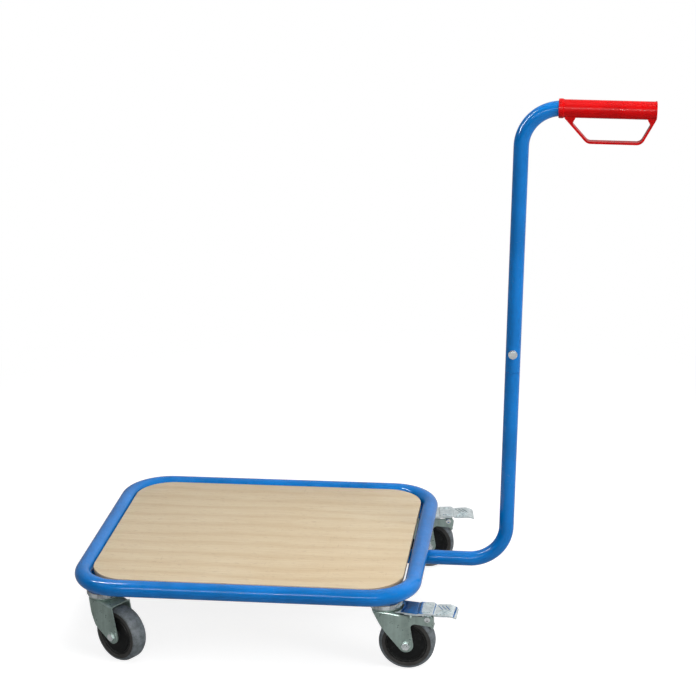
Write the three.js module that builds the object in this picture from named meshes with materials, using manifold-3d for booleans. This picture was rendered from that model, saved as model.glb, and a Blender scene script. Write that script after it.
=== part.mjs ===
// Transport dolly: a bent tube frame with a let-in plywood deck, four swivel casters
// and a two-piece push handle with a guarded grip. Millimetres, +Z up, floor at Z = 0,
// +X towards the handle, +Y towards the rear long side.

import * as THREE from 'three';
import { mergeVertices } from 'three/addons/utils/BufferGeometryUtils.js';
import Module from 'manifold-3d';

const wasm = await Module();
wasm.setup();

// Clearances that every joint between pieces is worked out from.
const SEAT_GAP = 0.3;
const RUNNING_GAP = 0.5;
const CUT_OVERRUN = 1;
const JOIN_LAP = 0.5;

// Deck frame: one round steel tube, bent into a closed ring and butt welded.
const FRAME_LENGTH = 630;
const FRAME_WIDTH = 540;
const FRAME_TUBE_DIAMETER = 30;
const FRAME_TUBE_WALL = 2;
const FRAME_BEND_RADIUS = 79;
const DRAIN_DIAMETER = 6;
const DRAIN_INSET = 240;

// Deck board, let into the ring below the top of the tube.
const DECK_THICKNESS = 9;
const DECK_RISE_ABOVE_TUBE_AXIS = 1;
const DECK_SIDE_GAP = 2.5;
const DECK_CORNER_RADIUS = 70;
const DECK_EDGE_BREAK = 1;

// Flat crossbars below the deck, each with two wood screws from below.
const CROSSBAR_WIDTH = 30;
const CROSSBAR_THICKNESS = 5;
const CROSSBAR_SPACING = 280;
const SCREW_SPACING = 300;
const SCREW_DIAMETER = 5;
const SCREW_REACH = 7;
const SCREW_HEAD_DIAMETER = 10;
const SCREW_HEAD_HEIGHT = 2.5;

// Corner plates that carry the casters.
const PLATE_THICKNESS = 4;
const PLATE_ARM = 34;
const CASTER_INSET_X = 61;
const CASTER_INSET_Y = 51;

// Push handle: the lower tube runs below the deck and turns up, the upper tube turns out.
const HANDLE_TUBE_DIAMETER = 27;
const HANDLE_TUBE_WALL = 2;
const HANDLE_BEND_RADIUS = 69;
const HANDLE_REACH = 139.8;
const HANDLE_LEAN_DEGREES = 1.46;
const HANDLE_END_INSET = 8;
const HANDLE_SEAM_HEIGHT = 484;
const HANDLE_BOLT_RISE = 35;
const SPIGOT_WALL = 2;
const SPIGOT_DEPTH = 75;
const SPIGOT_BOLT_MARGIN = 40;

// Bolt through the handle tubes.
const HANDLE_BOLT_DIAMETER = 8;
const HANDLE_BOLT_HEAD_HEIGHT = 5.3;
const HANDLE_BOLT_ACROSS_FLATS = 13;
const HANDLE_NUT_HEIGHT = 6.5;
const HANDLE_WASHER_DIAMETER = 16.5;
const HANDLE_WASHER_THICKNESS = 1.5;
const HANDLE_BOLT_STUB = 2;

// Grip: a closed plastic sleeve with a collar, an end rim and a hand guard below it.
const GRIP_AXIS_HEIGHT = 963.5;
const GRIP_DROOP_DEGREES = 1;
const GRIP_START = 61.8;
const GRIP_LENGTH = 168.2;
const GRIP_DIAMETER = 31.6;
const GRIP_END_WALL = 4;
const GRIP_EDGE_RADIUS = 1.4;
const COLLAR_DIAMETER = 34.2;
const COLLAR_LENGTH = 8.8;
const MOUTH_FLARE_LENGTH = 9;
const MOUTH_FLARE = 1.1;
const GRIP_RIM_LENGTH = 3;
const GRIP_RIM_DIAMETER = 33;
const GUARD_WIDTH = 18;
const GUARD_STRAP = 3.8;
const GUARD_DEPTH = 59.2;
const GUARD_FOOT_START = 10.8;
const GUARD_BOTTOM_START = 50.6;
const GUARD_BOTTOM_END = 144;
const GUARD_CORNER_RADIUS = 15;
const GUARD_WEB_HEIGHT = 9;
const GUARD_WEB_RUN = 5;

// Casters: swivel castors with a bolt through the swivel head.
const CASTER_HEIGHT = 128;
const CASTER_TRAIL = 39;
const HEAD_RADIUS = 31;
const HEAD_PLATE_THICKNESS = 2.2;
const HEAD_SKIRT_DROP = 9.6;
const HEAD_SKIRT_WALL = 2;
const HEAD_BEND_RADIUS = 2;
const HEAD_NECK_RADIUS = 9.8;
const RACE_RADIUS = 23;
const BALL_COUNT = 8;
const BALL_SIDES = 5;
const BALL_RINGS = 3;
const CAGE_THICKNESS = 1.2;
const CAGE_WIDTH = 5;

// Forks: pressed steel sheet with a round crown, a roofed bridge and two flat legs.
const FORK_SHEET = 2.5;
const FORK_HALF_WIDTH = 23.5;
const FORK_SHOULDER_RADIUS = 6;
const FORK_FOOT = 20;
const CROWN_HEIGHT = 113;
const CROWN_FRONT = 22;
const CROWN_SIDE_RADIUS = 72;
const CROWN_SIDE_START = 5;
const BOSS_RADIUS = 28.5;
const BOSS_HEIGHT = 117.5;
const BOSS_FOOT_RADIUS = 21.5;
const BOSS_RIM = 2.5;
const BRIDGE_END = 40;
const BRIDGE_END_HEIGHT = 107;
const FORK_NOSE_RADIUS = 13.2;
const PLAIN_FRONT_WAIST = [-14, 82];
const PLAIN_FRONT_WAIST_RADIUS = 40;
const PLAIN_FRONT_KNEE = [-2, 61];
const FORK_KNEE_RADIUS = 12;
const BRAKED_ROOF_END = 28;
const BRAKED_FRONT_KNEE = [-3, 80];
const HORN_ARCH_FOOT = [47.4, 84];
const HORN_ARCH_TOP = [48.4, 92.6];
const HORN_ARCH_RADIUS = 8;
const HORN_UNDERSIDE_END = [86.5, 87.8];
const HORN_UNDERSIDE_RADIUS = 5;
const HORN_TIP = 88.6;
const HORN_TOP_HEIGHT = 106.5;
const HORN_TOP_RADIUS = 5;
const SPACER_RIVET = [47.4, 104];
const SPACER_RIVET_DIAMETER = 5;
const SPACER_RIVET_HEAD_DIAMETER = 8;
const SPACER_RIVET_HEAD_HEIGHT = 1.5;

// Wheels: a black hub on a plain bore with a grey tyre moulded round it.
const WHEEL_DIAMETER = 100;
const TYRE_TREAD_WIDTH = 17;
const TYRE_SIDE_RADIUS = 46.5;
const TYRE_WIDTH = 31.6;
const HUB_RADIUS = 37;
const HUB_WIDTH = 30;
const HUB_GROOVE_INNER = 30.5;
const HUB_GROOVE_OUTER = 33.7;
const HUB_GROOVE_DEPTH = 1.5;
const HUB_BOSS_RADIUS = 11.5;
const HUB_BOSS_FOOT_RADIUS = 13;
const AXLE_DIAMETER = 8;
const AXLE_TUBE_DIAMETER = 12.6;
const AXLE_ACROSS_FLATS = 13;
const AXLE_HEAD_HEIGHT = 5.3;
const AXLE_NUT_HEIGHT = 6.5;
const AXLE_STUB = 2.5;
const AXLE_FLANGE_DIAMETER = 17;
const AXLE_FLANGE_THICKNESS = 1.4;

// Caster bolts, heads on the corner plates and flanged nuts inside the crowns.
const KING_BOLT_DIAMETER = 10;
const KING_ACROSS_FLATS = 17;
const KING_HEAD_HEIGHT = 6.4;
const KING_NUT_HEIGHT = 8;
const KING_FLANGE_DIAMETER = 26;
const KING_FLANGE_THICKNESS = 1.5;
const KING_STUB = 2;

// Wheel brake: a wide pressed pedal on a pin through the fork's horns, with a shoe.
const BRAKE_PIVOT = [77.2, 102];
const BRAKE_PIN_DIAMETER = 6;
const BRAKE_PIN_HEAD_DIAMETER = 11;
const BRAKE_PIN_HEAD_HEIGHT = 1.6;
const PEDAL_SHEET = 2;
const PEDAL_HALF_WIDTH = 25;
const PEDAL_WAIST_HALF_WIDTH = 22.5;
const PEDAL_TIP_HALF_WIDTH = 22;
const PEDAL_CORNER_RADIUS = 6;
const PEDAL_HEAD_GAP = 2;
const PEDAL_FRONT = [18, 115.4];
const PEDAL_WEB_END = [60, 112];
const PEDAL_BOX_START = [62.5, 113.4];
const PEDAL_BOX_END = [86.5, 113.4];
const PEDAL_TREAD_START = [89.5, 110.6];
const PEDAL_TREAD_CREST = [112, 111.4];
const PEDAL_TREAD_ROLL = [122, 109.6];
const PEDAL_TIP = [128, 105.8];
const PEDAL_LIP_DROP = 4;
const PEDAL_LIP_START = 36;
const PEDAL_RIDGE_START = 67;
const PEDAL_RIDGE_END = 82;
const PEDAL_RIDGE_HALF_WIDTH = 18;
const PEDAL_RIB_HEIGHT = 0.9;
const CHEVRON_STARTS = [92, 98.5, 105];
const CHEVRON_RUN = 11;
const CHEVRON_WIDTH = 2.6;
const CHEVRON_HALF_WIDTH = 19;
const PEDAL_EAR_RADIUS = 7;
const PEDAL_EAR_SHEET = 2;
const PEDAL_EAR_GAP = 0.7;
const BRAKE_TRAVEL_DEGREES = 5;
const SHOE_PRESSED_GAP = 0.9;
const SHOE_THICKNESS = 3.5;
const SHOE_WIDTH = 22;
const SHOE_START_DEGREES = 22;
const SHOE_END_DEGREES = 50;
const SHOE_STEM_START = 81.5;
const SHOE_STEM_END = 86;
const SHOE_STEM_FOOT_HEIGHT = 78;
const SHOE_STEM_WIDTH = 16;

// Facet counts.
const TUBE_SIDES = 16;
const TUBE_BORE_SIDES = 8;
const FRAME_BEND_STEPS = 5;
const HANDLE_BEND_STEPS = 7;
const WHEEL_SIDES = 32;
const HUB_SIDES = 16;
const HEAD_SIDES = 16;
const ROUND_SIDES = 12;
const SMALL_SIDES = 8;
const ARC_STEPS = 4;
const SHOULDER_STEPS = 2;
const HEX_SIDES = 6;

// The four casters: corner, heading about the swivel axis, brake, and the side of the axle head.
const CASTERS = [
  { name: 'front_left', x: -1, y: -1, headingDegrees: -31.5, braked: false, headSide: -1 },
  { name: 'front_right', x: 1, y: -1, headingDegrees: -2, braked: true, headSide: 1 },
  { name: 'rear_left', x: -1, y: 1, headingDegrees: 28, braked: false, headSide: -1 },
  { name: 'rear_right', x: 1, y: 1, headingDegrees: 7, braked: true, headSide: 1 },
];

// Levels and places that the pieces share.
const frameTubeRadius = FRAME_TUBE_DIAMETER / 2;
const frameAxisHeight = CASTER_HEIGHT + frameTubeRadius;
const handleTubeRadius = HANDLE_TUBE_DIAMETER / 2;
const beamAxisHeight = CASTER_HEIGHT - SEAT_GAP - handleTubeRadius;
const deckBottom = frameAxisHeight + DECK_RISE_ABOVE_TUBE_AXIS;
const plateTop = CASTER_HEIGHT + PLATE_THICKNESS;
const headTop = CASTER_HEIGHT - SEAT_GAP;
const headPlateBottom = headTop - HEAD_PLATE_THICKNESS;
const crownUnderside = CROWN_HEIGHT - FORK_SHEET;
const neckBottom = crownUnderside - RUNNING_GAP;
const ballDiameter = headPlateBottom - BOSS_HEIGHT - 2 * SEAT_GAP;
const wheelRadius = WHEEL_DIAMETER / 2;
const legInside = FORK_HALF_WIDTH - FORK_SHEET;
const handleLean = THREE.MathUtils.degToRad(HANDLE_LEAN_DEGREES);
const gripDroop = THREE.MathUtils.degToRad(GRIP_DROOP_DEGREES);
const uprightFoot = FRAME_LENGTH / 2 + HANDLE_REACH;
const handleBoltHeight = HANDLE_SEAM_HEIGHT + HANDLE_BOLT_RISE;
const uprightTop = uprightFoot + (GRIP_AXIS_HEIGHT - beamAxisHeight) * Math.tan(handleLean);
const gripEnd = uprightTop + (GRIP_START + GRIP_LENGTH) * Math.cos(gripDroop);
const centreOffset = (gripEnd - FRAME_LENGTH / 2) / 2;

// Finishes.
const bluePaint = { color: 0x0a69b4, roughness: 0.25, metalness: 0.1 };
const plywood = { color: 0xe6d2ae, roughness: 0.65, metalness: 0 };
const zinc = { color: 0xb4bcbe, roughness: 0.35, metalness: 0.9 };
const redPlastic = { color: 0xcc1218, roughness: 0.3, metalness: 0 };
const greyRubber = { color: 0x757d80, roughness: 0.8, metalness: 0 };
const blackPlastic = { color: 0x17191a, roughness: 0.5, metalness: 0 };

/** A solid for joining and cutting, made from a closed geometry. */
function solid(geometry) {
  const bare = geometry.clone();
  bare.deleteAttribute('normal');
  bare.deleteAttribute('uv');
  const merged = mergeVertices(bare);
  const position = merged.getAttribute('position');
  const triVerts = Uint32Array.from(merged.index.array);
  if (signedVolume(position, triVerts) < 0) {
    for (let i = 0; i < triVerts.length; i += 3) {
      [triVerts[i], triVerts[i + 1]] = [triVerts[i + 1], triVerts[i]];
    }
  }
  const vertProperties = Float32Array.from(position.array);
  return new wasm.Manifold(new wasm.Mesh({ numProp: 3, vertProperties, triVerts }));
}

/** Six times the volume inside a triangle mesh, negative when it is inside out. */
function signedVolume(position, triangles) {
  const [a, b, c] = [new THREE.Vector3(), new THREE.Vector3(), new THREE.Vector3()];
  let sum = 0;
  for (let i = 0; i < triangles.length; i += 3) {
    a.fromBufferAttribute(position, triangles[i]);
    b.fromBufferAttribute(position, triangles[i + 1]);
    c.fromBufferAttribute(position, triangles[i + 2]);
    sum += a.dot(b.cross(c));
  }
  return sum;
}

/** The geometry of a finished solid. */
function geometryOf(body) {
  const mesh = body.getMesh();
  const stride = mesh.numProp;
  const count = mesh.vertProperties.length / stride;
  const positions = new Float32Array(count * 3);
  for (let i = 0; i < count; i++) {
    positions.set(mesh.vertProperties.subarray(i * stride, i * stride + 3), i * 3);
  }
  const geometry = new THREE.BufferGeometry();
  geometry.setAttribute('position', new THREE.BufferAttribute(positions, 3));
  geometry.setIndex(new THREE.BufferAttribute(Uint32Array.from(mesh.triVerts), 1));
  geometry.computeVertexNormals();
  return geometry;
}

/** A named mesh with a material of its own. */
function piece(name, body, finish) {
  const mesh = new THREE.Mesh(geometryOf(body), new THREE.MeshStandardMaterial(finish));
  mesh.name = name;
  return mesh;
}

/** All solids of a list joined into one. */
function joined(bodies) {
  return bodies.reduce((whole, body) => whole.add(body));
}

/** Corner points of a regular outline with the given number of sides. */
function circlePoints(radius, sides, x = 0, y = 0) {
  const points = [];
  for (let i = 0; i < sides; i++) {
    const angle = (2 * Math.PI * i) / sides;
    points.push(new THREE.Vector2(x + radius * Math.cos(angle), y + radius * Math.sin(angle)));
  }
  return points;
}

/** Points along an arc, from one angle to another. */
function arcPoints(x, y, radius, startDegrees, endDegrees, steps = ARC_STEPS) {
  const points = [];
  for (let i = 0; i <= steps; i++) {
    const degrees = startDegrees + ((endDegrees - startDegrees) * i) / steps;
    const angle = THREE.MathUtils.degToRad(degrees);
    points.push(new THREE.Vector2(x + radius * Math.cos(angle), y + radius * Math.sin(angle)));
  }
  return points;
}

/** An outline with its corners rounded, from [x, y, radius] corners. */
function roundedOutline(corners, steps = ARC_STEPS) {
  return corners.flatMap(([x, y, radius = 0], i) => {
    const corner = new THREE.Vector2(x, y);
    if (radius === 0) return [corner];
    const before = corners.at(i - 1);
    const after = corners[(i + 1) % corners.length];
    const back = new THREE.Vector2(before[0] - x, before[1] - y).normalize();
    const onward = new THREE.Vector2(after[0] - x, after[1] - y).normalize();
    const half = Math.acos(THREE.MathUtils.clamp(back.dot(onward), -1, 1)) / 2;
    const bisector = back.clone().add(onward).normalize();
    const centre = corner.clone().addScaledVector(bisector, radius / Math.sin(half));
    const start = corner.clone().addScaledVector(back, radius / Math.tan(half));
    const sweep = (Math.PI - 2 * half) * Math.sign(onward.cross(back));
    return Array.from({ length: steps + 1 }, (_, k) =>
      start.clone().rotateAround(centre, (sweep * k) / steps));
  });
}

/** The point where a line from outside touches a circle, on the chosen side. */
function tangentPoint([x, y], centreX, centreY, radius, side) {
  const away = new THREE.Vector2(x - centreX, y - centreY);
  const turn = side * Math.acos(radius / away.length());
  const touch = away.setLength(radius).rotateAround(new THREE.Vector2(), turn);
  return [centreX + touch.x, centreY + touch.y];
}

/** An extrusion of an outline along +Z, from z = 0. */
function prism(points, height, holes = []) {
  const shape = new THREE.Shape(points);
  shape.holes = holes.map((hole) => new THREE.Path(hole));
  return new THREE.ExtrudeGeometry(shape, { depth: height, bevelEnabled: false });
}

/** An outline in X and Z, extruded along Y between two distances. */
function sidePrism(points, from, to, holes = []) {
  const geometry = prism(points, to - from, holes);
  geometry.translate(0, 0, -to);
  geometry.rotateX(Math.PI / 2);
  return geometry;
}

/** A turned solid about the Z axis, from [radius, z] points. */
function turned(profile, sides, phase = 0) {
  const points = profile.map(([radius, z]) => new THREE.Vector2(radius, z));
  const geometry = new THREE.LatheGeometry(points, sides, phase);
  geometry.rotateX(Math.PI / 2);
  return geometry;
}

/** A plain round bar about the Z axis between two levels. */
function bar(radius, from, to, sides = ROUND_SIDES) {
  const geometry = prism(circlePoints(radius, sides), to - from);
  geometry.translate(0, 0, from);
  return geometry;
}

/** A hexagonal bar about the Z axis between two levels. */
function hexBar(acrossFlats, from, to) {
  return bar(acrossFlats / Math.sqrt(3), from, to, HEX_SIDES);
}

/** A geometry about the Z axis laid along +Y, at a place in X and Z. */
function alongY(geometry, x = 0, z = 0) {
  geometry.rotateX(-Math.PI / 2);
  geometry.translate(x, 0, z);
  return geometry;
}

/** A geometry moved by the given distances. */
function moved(geometry, x, y, z) {
  return geometry.translate(x, y, z);
}

/** A closed body through convex sections that have the same number of points. */
function lofted(sections) {
  const size = sections[0].length;
  const last = (sections.length - 1) * size;
  const faces = [];
  for (let s = 0; s < last; s += size) {
    for (let i = 0; i < size; i++) {
      const next = (i + 1) % size;
      faces.push(s + i, s + next, s + size + next);
      faces.push(s + i, s + size + next, s + size + i);
    }
  }
  for (let i = 1; i < size - 1; i++) {
    faces.push(0, i + 1, i);
    faces.push(last, last + i, last + i + 1);
  }
  const geometry = new THREE.BufferGeometry().setFromPoints(sections.flat());
  geometry.setIndex(faces);
  return geometry;
}

/** A centre line with one section at each stated point, square to the stated direction. */
class SectionPath extends THREE.Curve {
  constructor(sections) {
    super();
    this.sections = sections;
  }

  getPointAt(share) {
    const index = Math.round(share * (this.sections.length - 1));
    return this.sections[index].point.clone();
  }

  getTangentAt(share) {
    const index = Math.round(share * (this.sections.length - 1));
    return this.sections[index].direction.clone();
  }
}

/** A path through straight runs that meet in bends of one radius. */
function bentPath(corners, bendRadius, stepsPerBend) {
  const last = corners.length - 1;
  let direction = corners[1].clone().sub(corners[0]).normalize();
  const sections = [{ point: corners[0], direction }];
  for (let i = 1; i < last; i++) {
    const onward = corners[i + 1].clone().sub(corners[i]).normalize();
    const turn = direction.angleTo(onward);
    const axis = direction.clone().cross(onward).normalize();
    const start = corners[i].clone().addScaledVector(direction, -bendRadius * Math.tan(turn / 2));
    const centre = start.clone().addScaledVector(axis.clone().cross(direction), bendRadius);
    for (let k = 0; k <= stepsPerBend; k++) {
      const angle = (turn * k) / stepsPerBend;
      const arm = start.clone().sub(centre).applyAxisAngle(axis, angle);
      const heading = direction.clone().applyAxisAngle(axis, angle);
      sections.push({ point: arm.add(centre), direction: heading });
    }
    direction = onward;
  }
  sections.push({ point: corners[last], direction });
  return new SectionPath(sections);
}

/** A tube with open ends along a path. */
function tubeAlong(path, diameter, wall, sides = TUBE_SIDES) {
  const shape = new THREE.Shape(circlePoints(diameter / 2, sides));
  shape.holes = [new THREE.Path(circlePoints(diameter / 2 - wall, TUBE_BORE_SIDES))];
  const steps = path.sections.length - 1;
  return new THREE.ExtrudeGeometry(shape, { steps, extrudePath: path, bevelEnabled: false });
}

/** Centre line corners of one half of the ring, between the middles of the long sides. */
function ringHalf(side) {
  const x = FRAME_LENGTH / 2 - frameTubeRadius;
  const y = FRAME_WIDTH / 2 - frameTubeRadius;
  return [
    new THREE.Vector3(0, -side * y, frameAxisHeight),
    new THREE.Vector3(side * x, -side * y, frameAxisHeight),
    new THREE.Vector3(side * x, side * y, frameAxisHeight),
    new THREE.Vector3(0, side * y, frameAxisHeight),
  ];
}

/** The ring of tube round the deck, with a drain hole in its underside. */
function frameRing() {
  const halves = [1, -1].map((side) => {
    const path = bentPath(ringHalf(side), FRAME_BEND_RADIUS, FRAME_BEND_STEPS);
    return solid(tubeAlong(path, FRAME_TUBE_DIAMETER, FRAME_TUBE_WALL));
  });
  const drain = bar(DRAIN_DIAMETER / 2, CASTER_HEIGHT - CUT_OVERRUN, frameAxisHeight, SMALL_SIDES);
  const x = FRAME_LENGTH / 2 - DRAIN_INSET;
  const y = FRAME_WIDTH / 2 - frameTubeRadius;
  return joined(halves).subtract(solid(moved(drain, x, -y, 0)));
}

/** Places of the wood screws along one crossbar. */
function screwPlaces() {
  return [-SCREW_SPACING / 2, SCREW_SPACING / 2];
}

/** The plywood board, with its edges broken and blind holes for the screws. */
function deckBoard() {
  const halfLength = FRAME_LENGTH / 2 - FRAME_TUBE_DIAMETER - DECK_SIDE_GAP - DECK_EDGE_BREAK;
  const halfWidth = FRAME_WIDTH / 2 - FRAME_TUBE_DIAMETER - DECK_SIDE_GAP - DECK_EDGE_BREAK;
  const radius = DECK_CORNER_RADIUS - DECK_EDGE_BREAK;
  const shape = new THREE.Shape(roundedOutline([
    [halfLength, -halfWidth, radius],
    [halfLength, halfWidth, radius],
    [-halfLength, halfWidth, radius],
    [-halfLength, -halfWidth, radius],
  ], 2 * ARC_STEPS));
  const geometry = new THREE.ExtrudeGeometry(shape, {
    depth: DECK_THICKNESS - 2 * DECK_EDGE_BREAK,
    bevelThickness: DECK_EDGE_BREAK,
    bevelSize: DECK_EDGE_BREAK,
    bevelSegments: 1,
  });
  const holes = [-1, 1].flatMap((side) => screwPlaces().map((y) => {
    const top = deckBottom + SCREW_REACH + SEAT_GAP;
    const hole = bar(SCREW_DIAMETER / 2 + SEAT_GAP, deckBottom - CUT_OVERRUN, top, SMALL_SIDES);
    return solid(moved(hole, (side * CROSSBAR_SPACING) / 2, y, 0));
  }));
  return solid(moved(geometry, 0, 0, deckBottom + DECK_EDGE_BREAK)).subtract(joined(holes));
}

/** A flat crossbar between the long sides of the ring, with its two screws. */
function crossbar() {
  const top = deckBottom - SEAT_GAP;
  const bottom = top - CROSSBAR_THICKNESS;
  const halfLength = FRAME_WIDTH / 2 - FRAME_TUBE_DIAMETER - SEAT_GAP;
  const flat = prism(roundedOutline([
    [-CROSSBAR_WIDTH / 2, -halfLength],
    [CROSSBAR_WIDTH / 2, -halfLength],
    [CROSSBAR_WIDTH / 2, halfLength],
    [-CROSSBAR_WIDTH / 2, halfLength],
  ]), CROSSBAR_THICKNESS);
  const screws = screwPlaces().map((y) => solid(moved(turned([
    [0, bottom - SCREW_HEAD_HEIGHT],
    [SCREW_DIAMETER / 2, bottom - SCREW_HEAD_HEIGHT],
    [SCREW_HEAD_DIAMETER / 2, bottom],
    [SCREW_DIAMETER / 2, top],
    [SCREW_DIAMETER / 2, deckBottom + SCREW_REACH - SCREW_DIAMETER / 2],
    [0, deckBottom + SCREW_REACH],
  ], SMALL_SIDES), 0, y, 0)));
  return joined([solid(moved(flat, 0, 0, bottom)), ...screws]);
}

/** A corner plate about the centre of the ring's bend, with its outer corner towards +X, +Y. */
function cornerPlate() {
  const drop = frameTubeRadius - PLATE_THICKNESS;
  const reach = Math.sqrt(frameTubeRadius ** 2 - drop ** 2) + SEAT_GAP;
  const radius = FRAME_BEND_RADIUS - reach;
  const outline = [
    new THREE.Vector2(radius, -PLATE_ARM),
    ...arcPoints(0, 0, radius, 0, 90, FRAME_BEND_STEPS),
    new THREE.Vector2(-PLATE_ARM, radius),
  ];
  const bendInset = frameTubeRadius + FRAME_BEND_RADIUS;
  const [x, y] = [bendInset - CASTER_INSET_X, bendInset - CASTER_INSET_Y];
  const hole = circlePoints(KING_BOLT_DIAMETER / 2 + SEAT_GAP, ROUND_SIDES, x, y);
  return solid(moved(prism(outline, PLATE_THICKNESS, [hole]), 0, 0, CASTER_HEIGHT));
}

/** The corner plate of a caster's corner, in its place in the ring. */
function placedPlate(caster) {
  const bendInset = frameTubeRadius + FRAME_BEND_RADIUS;
  const mesh = piece(`${caster.name}_corner_plate`, cornerPlate(), bluePaint);
  mesh.position.set(
    caster.x * (FRAME_LENGTH / 2 - bendInset),
    caster.y * (FRAME_WIDTH / 2 - bendInset),
    0,
  );
  mesh.scale.set(caster.x, caster.y, 1);
  return mesh;
}

/** The point of the upright's axis at a height. */
function onUpright(height) {
  const x = uprightFoot + (height - beamAxisHeight) * Math.tan(handleLean);
  return new THREE.Vector3(x, 0, height);
}

/** The hole for the handle bolt, through both walls of the tubes. */
function handleBoltHole() {
  const half = handleTubeRadius + CUT_OVERRUN;
  const hole = bar(HANDLE_BOLT_DIAMETER / 2 + SEAT_GAP, -half, half, SMALL_SIDES);
  const place = onUpright(handleBoltHeight);
  return solid(alongY(hole, place.x, place.z));
}

/** The lower handle tube: a beam below the ring that turns up into the upright. */
function lowerHandle() {
  const path = bentPath([
    new THREE.Vector3(-FRAME_LENGTH / 2 + HANDLE_END_INSET, 0, beamAxisHeight),
    new THREE.Vector3(uprightFoot, 0, beamAxisHeight),
    onUpright(HANDLE_SEAM_HEIGHT - SEAT_GAP / 2),
  ], HANDLE_BEND_RADIUS, HANDLE_BEND_STEPS);
  return solid(tubeAlong(path, HANDLE_TUBE_DIAMETER, HANDLE_TUBE_WALL));
}

/** The upper handle tube, which turns out into the grip. */
function upperHandle() {
  const reach = GRIP_START + GRIP_LENGTH - GRIP_END_WALL - RUNNING_GAP;
  const end = new THREE.Vector3(reach * Math.cos(gripDroop), 0, -reach * Math.sin(gripDroop));
  const path = bentPath([
    onUpright(HANDLE_SEAM_HEIGHT + SEAT_GAP / 2),
    onUpright(GRIP_AXIS_HEIGHT),
    end.add(onUpright(GRIP_AXIS_HEIGHT)),
  ], HANDLE_BEND_RADIUS, HANDLE_BEND_STEPS);
  const tube = solid(tubeAlong(path, HANDLE_TUBE_DIAMETER, HANDLE_TUBE_WALL));
  return tube.subtract(handleBoltHole());
}

/** The inner sleeve that carries the upper tube on the lower one. */
function handleSpigot() {
  const direction = new THREE.Vector3(Math.sin(handleLean), 0, Math.cos(handleLean));
  const sections = [-SPIGOT_DEPTH, HANDLE_BOLT_RISE + SPIGOT_BOLT_MARGIN].map((offset) => {
    const point = onUpright(HANDLE_SEAM_HEIGHT).addScaledVector(direction, offset);
    return { point, direction };
  });
  const diameter = HANDLE_TUBE_DIAMETER - 2 * HANDLE_TUBE_WALL - 2 * SEAT_GAP;
  const path = new SectionPath(sections);
  const sleeve = solid(tubeAlong(path, diameter, SPIGOT_WALL, TUBE_BORE_SIDES));
  return sleeve.subtract(handleBoltHole());
}

/** The bolt through the upright, with its washer; the head is towards -Y. */
function handleBolt() {
  const seat = handleTubeRadius + SEAT_GAP;
  const headStart = -seat - HANDLE_WASHER_THICKNESS - HANDLE_BOLT_HEAD_HEIGHT;
  const shankEnd = seat + HANDLE_WASHER_THICKNESS + HANDLE_NUT_HEIGHT + HANDLE_BOLT_STUB;
  const head = hexBar(HANDLE_BOLT_ACROSS_FLATS, headStart, -seat);
  head.rotateZ(Math.PI / HEX_SIDES);
  return joined([
    bar(HANDLE_WASHER_DIAMETER / 2, -seat - HANDLE_WASHER_THICKNESS, -seat),
    head,
    bar(HANDLE_BOLT_DIAMETER / 2, -seat - JOIN_LAP, shankEnd, SMALL_SIDES),
  ].map((part) => solid(alongY(part))));
}

/** The nut on the handle bolt, with its washer. */
function handleNut() {
  const seat = handleTubeRadius + SEAT_GAP;
  const end = seat + HANDLE_WASHER_THICKNESS + HANDLE_NUT_HEIGHT;
  const bore = bar(HANDLE_BOLT_DIAMETER / 2 + SEAT_GAP, 0, end + CUT_OVERRUN, SMALL_SIDES);
  return joined([
    bar(HANDLE_WASHER_DIAMETER / 2, seat, seat + HANDLE_WASHER_THICKNESS),
    hexBar(HANDLE_BOLT_ACROSS_FLATS, seat, end),
  ].map((part) => solid(alongY(part)))).subtract(solid(alongY(bore)));
}

/** A piece of the bolted joint, placed on the upright. */
function placedOnUpright(name, body) {
  const mesh = piece(name, body, zinc);
  mesh.position.copy(onUpright(handleBoltHeight));
  return mesh;
}

/** The grip's sleeve, turned about its axis. */
function gripSleeve() {
  const radius = GRIP_DIAMETER / 2;
  const collar = COLLAR_DIAMETER / 2;
  const rim = GRIP_RIM_DIAMETER / 2;
  const sleeve = turned([
    [0, 0],
    [collar - GRIP_EDGE_RADIUS, 0],
    [collar, GRIP_EDGE_RADIUS],
    [collar, COLLAR_LENGTH - GRIP_EDGE_RADIUS],
    [radius, COLLAR_LENGTH],
    [radius, GRIP_LENGTH - GRIP_RIM_LENGTH - GRIP_EDGE_RADIUS],
    [rim, GRIP_LENGTH - GRIP_RIM_LENGTH],
    [rim, GRIP_LENGTH - GRIP_EDGE_RADIUS],
    [rim - 2 * GRIP_EDGE_RADIUS, GRIP_LENGTH],
    [0, GRIP_LENGTH],
  ], HEAD_SIDES);
  return solid(sleeve.rotateY(Math.PI / 2));
}

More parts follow.
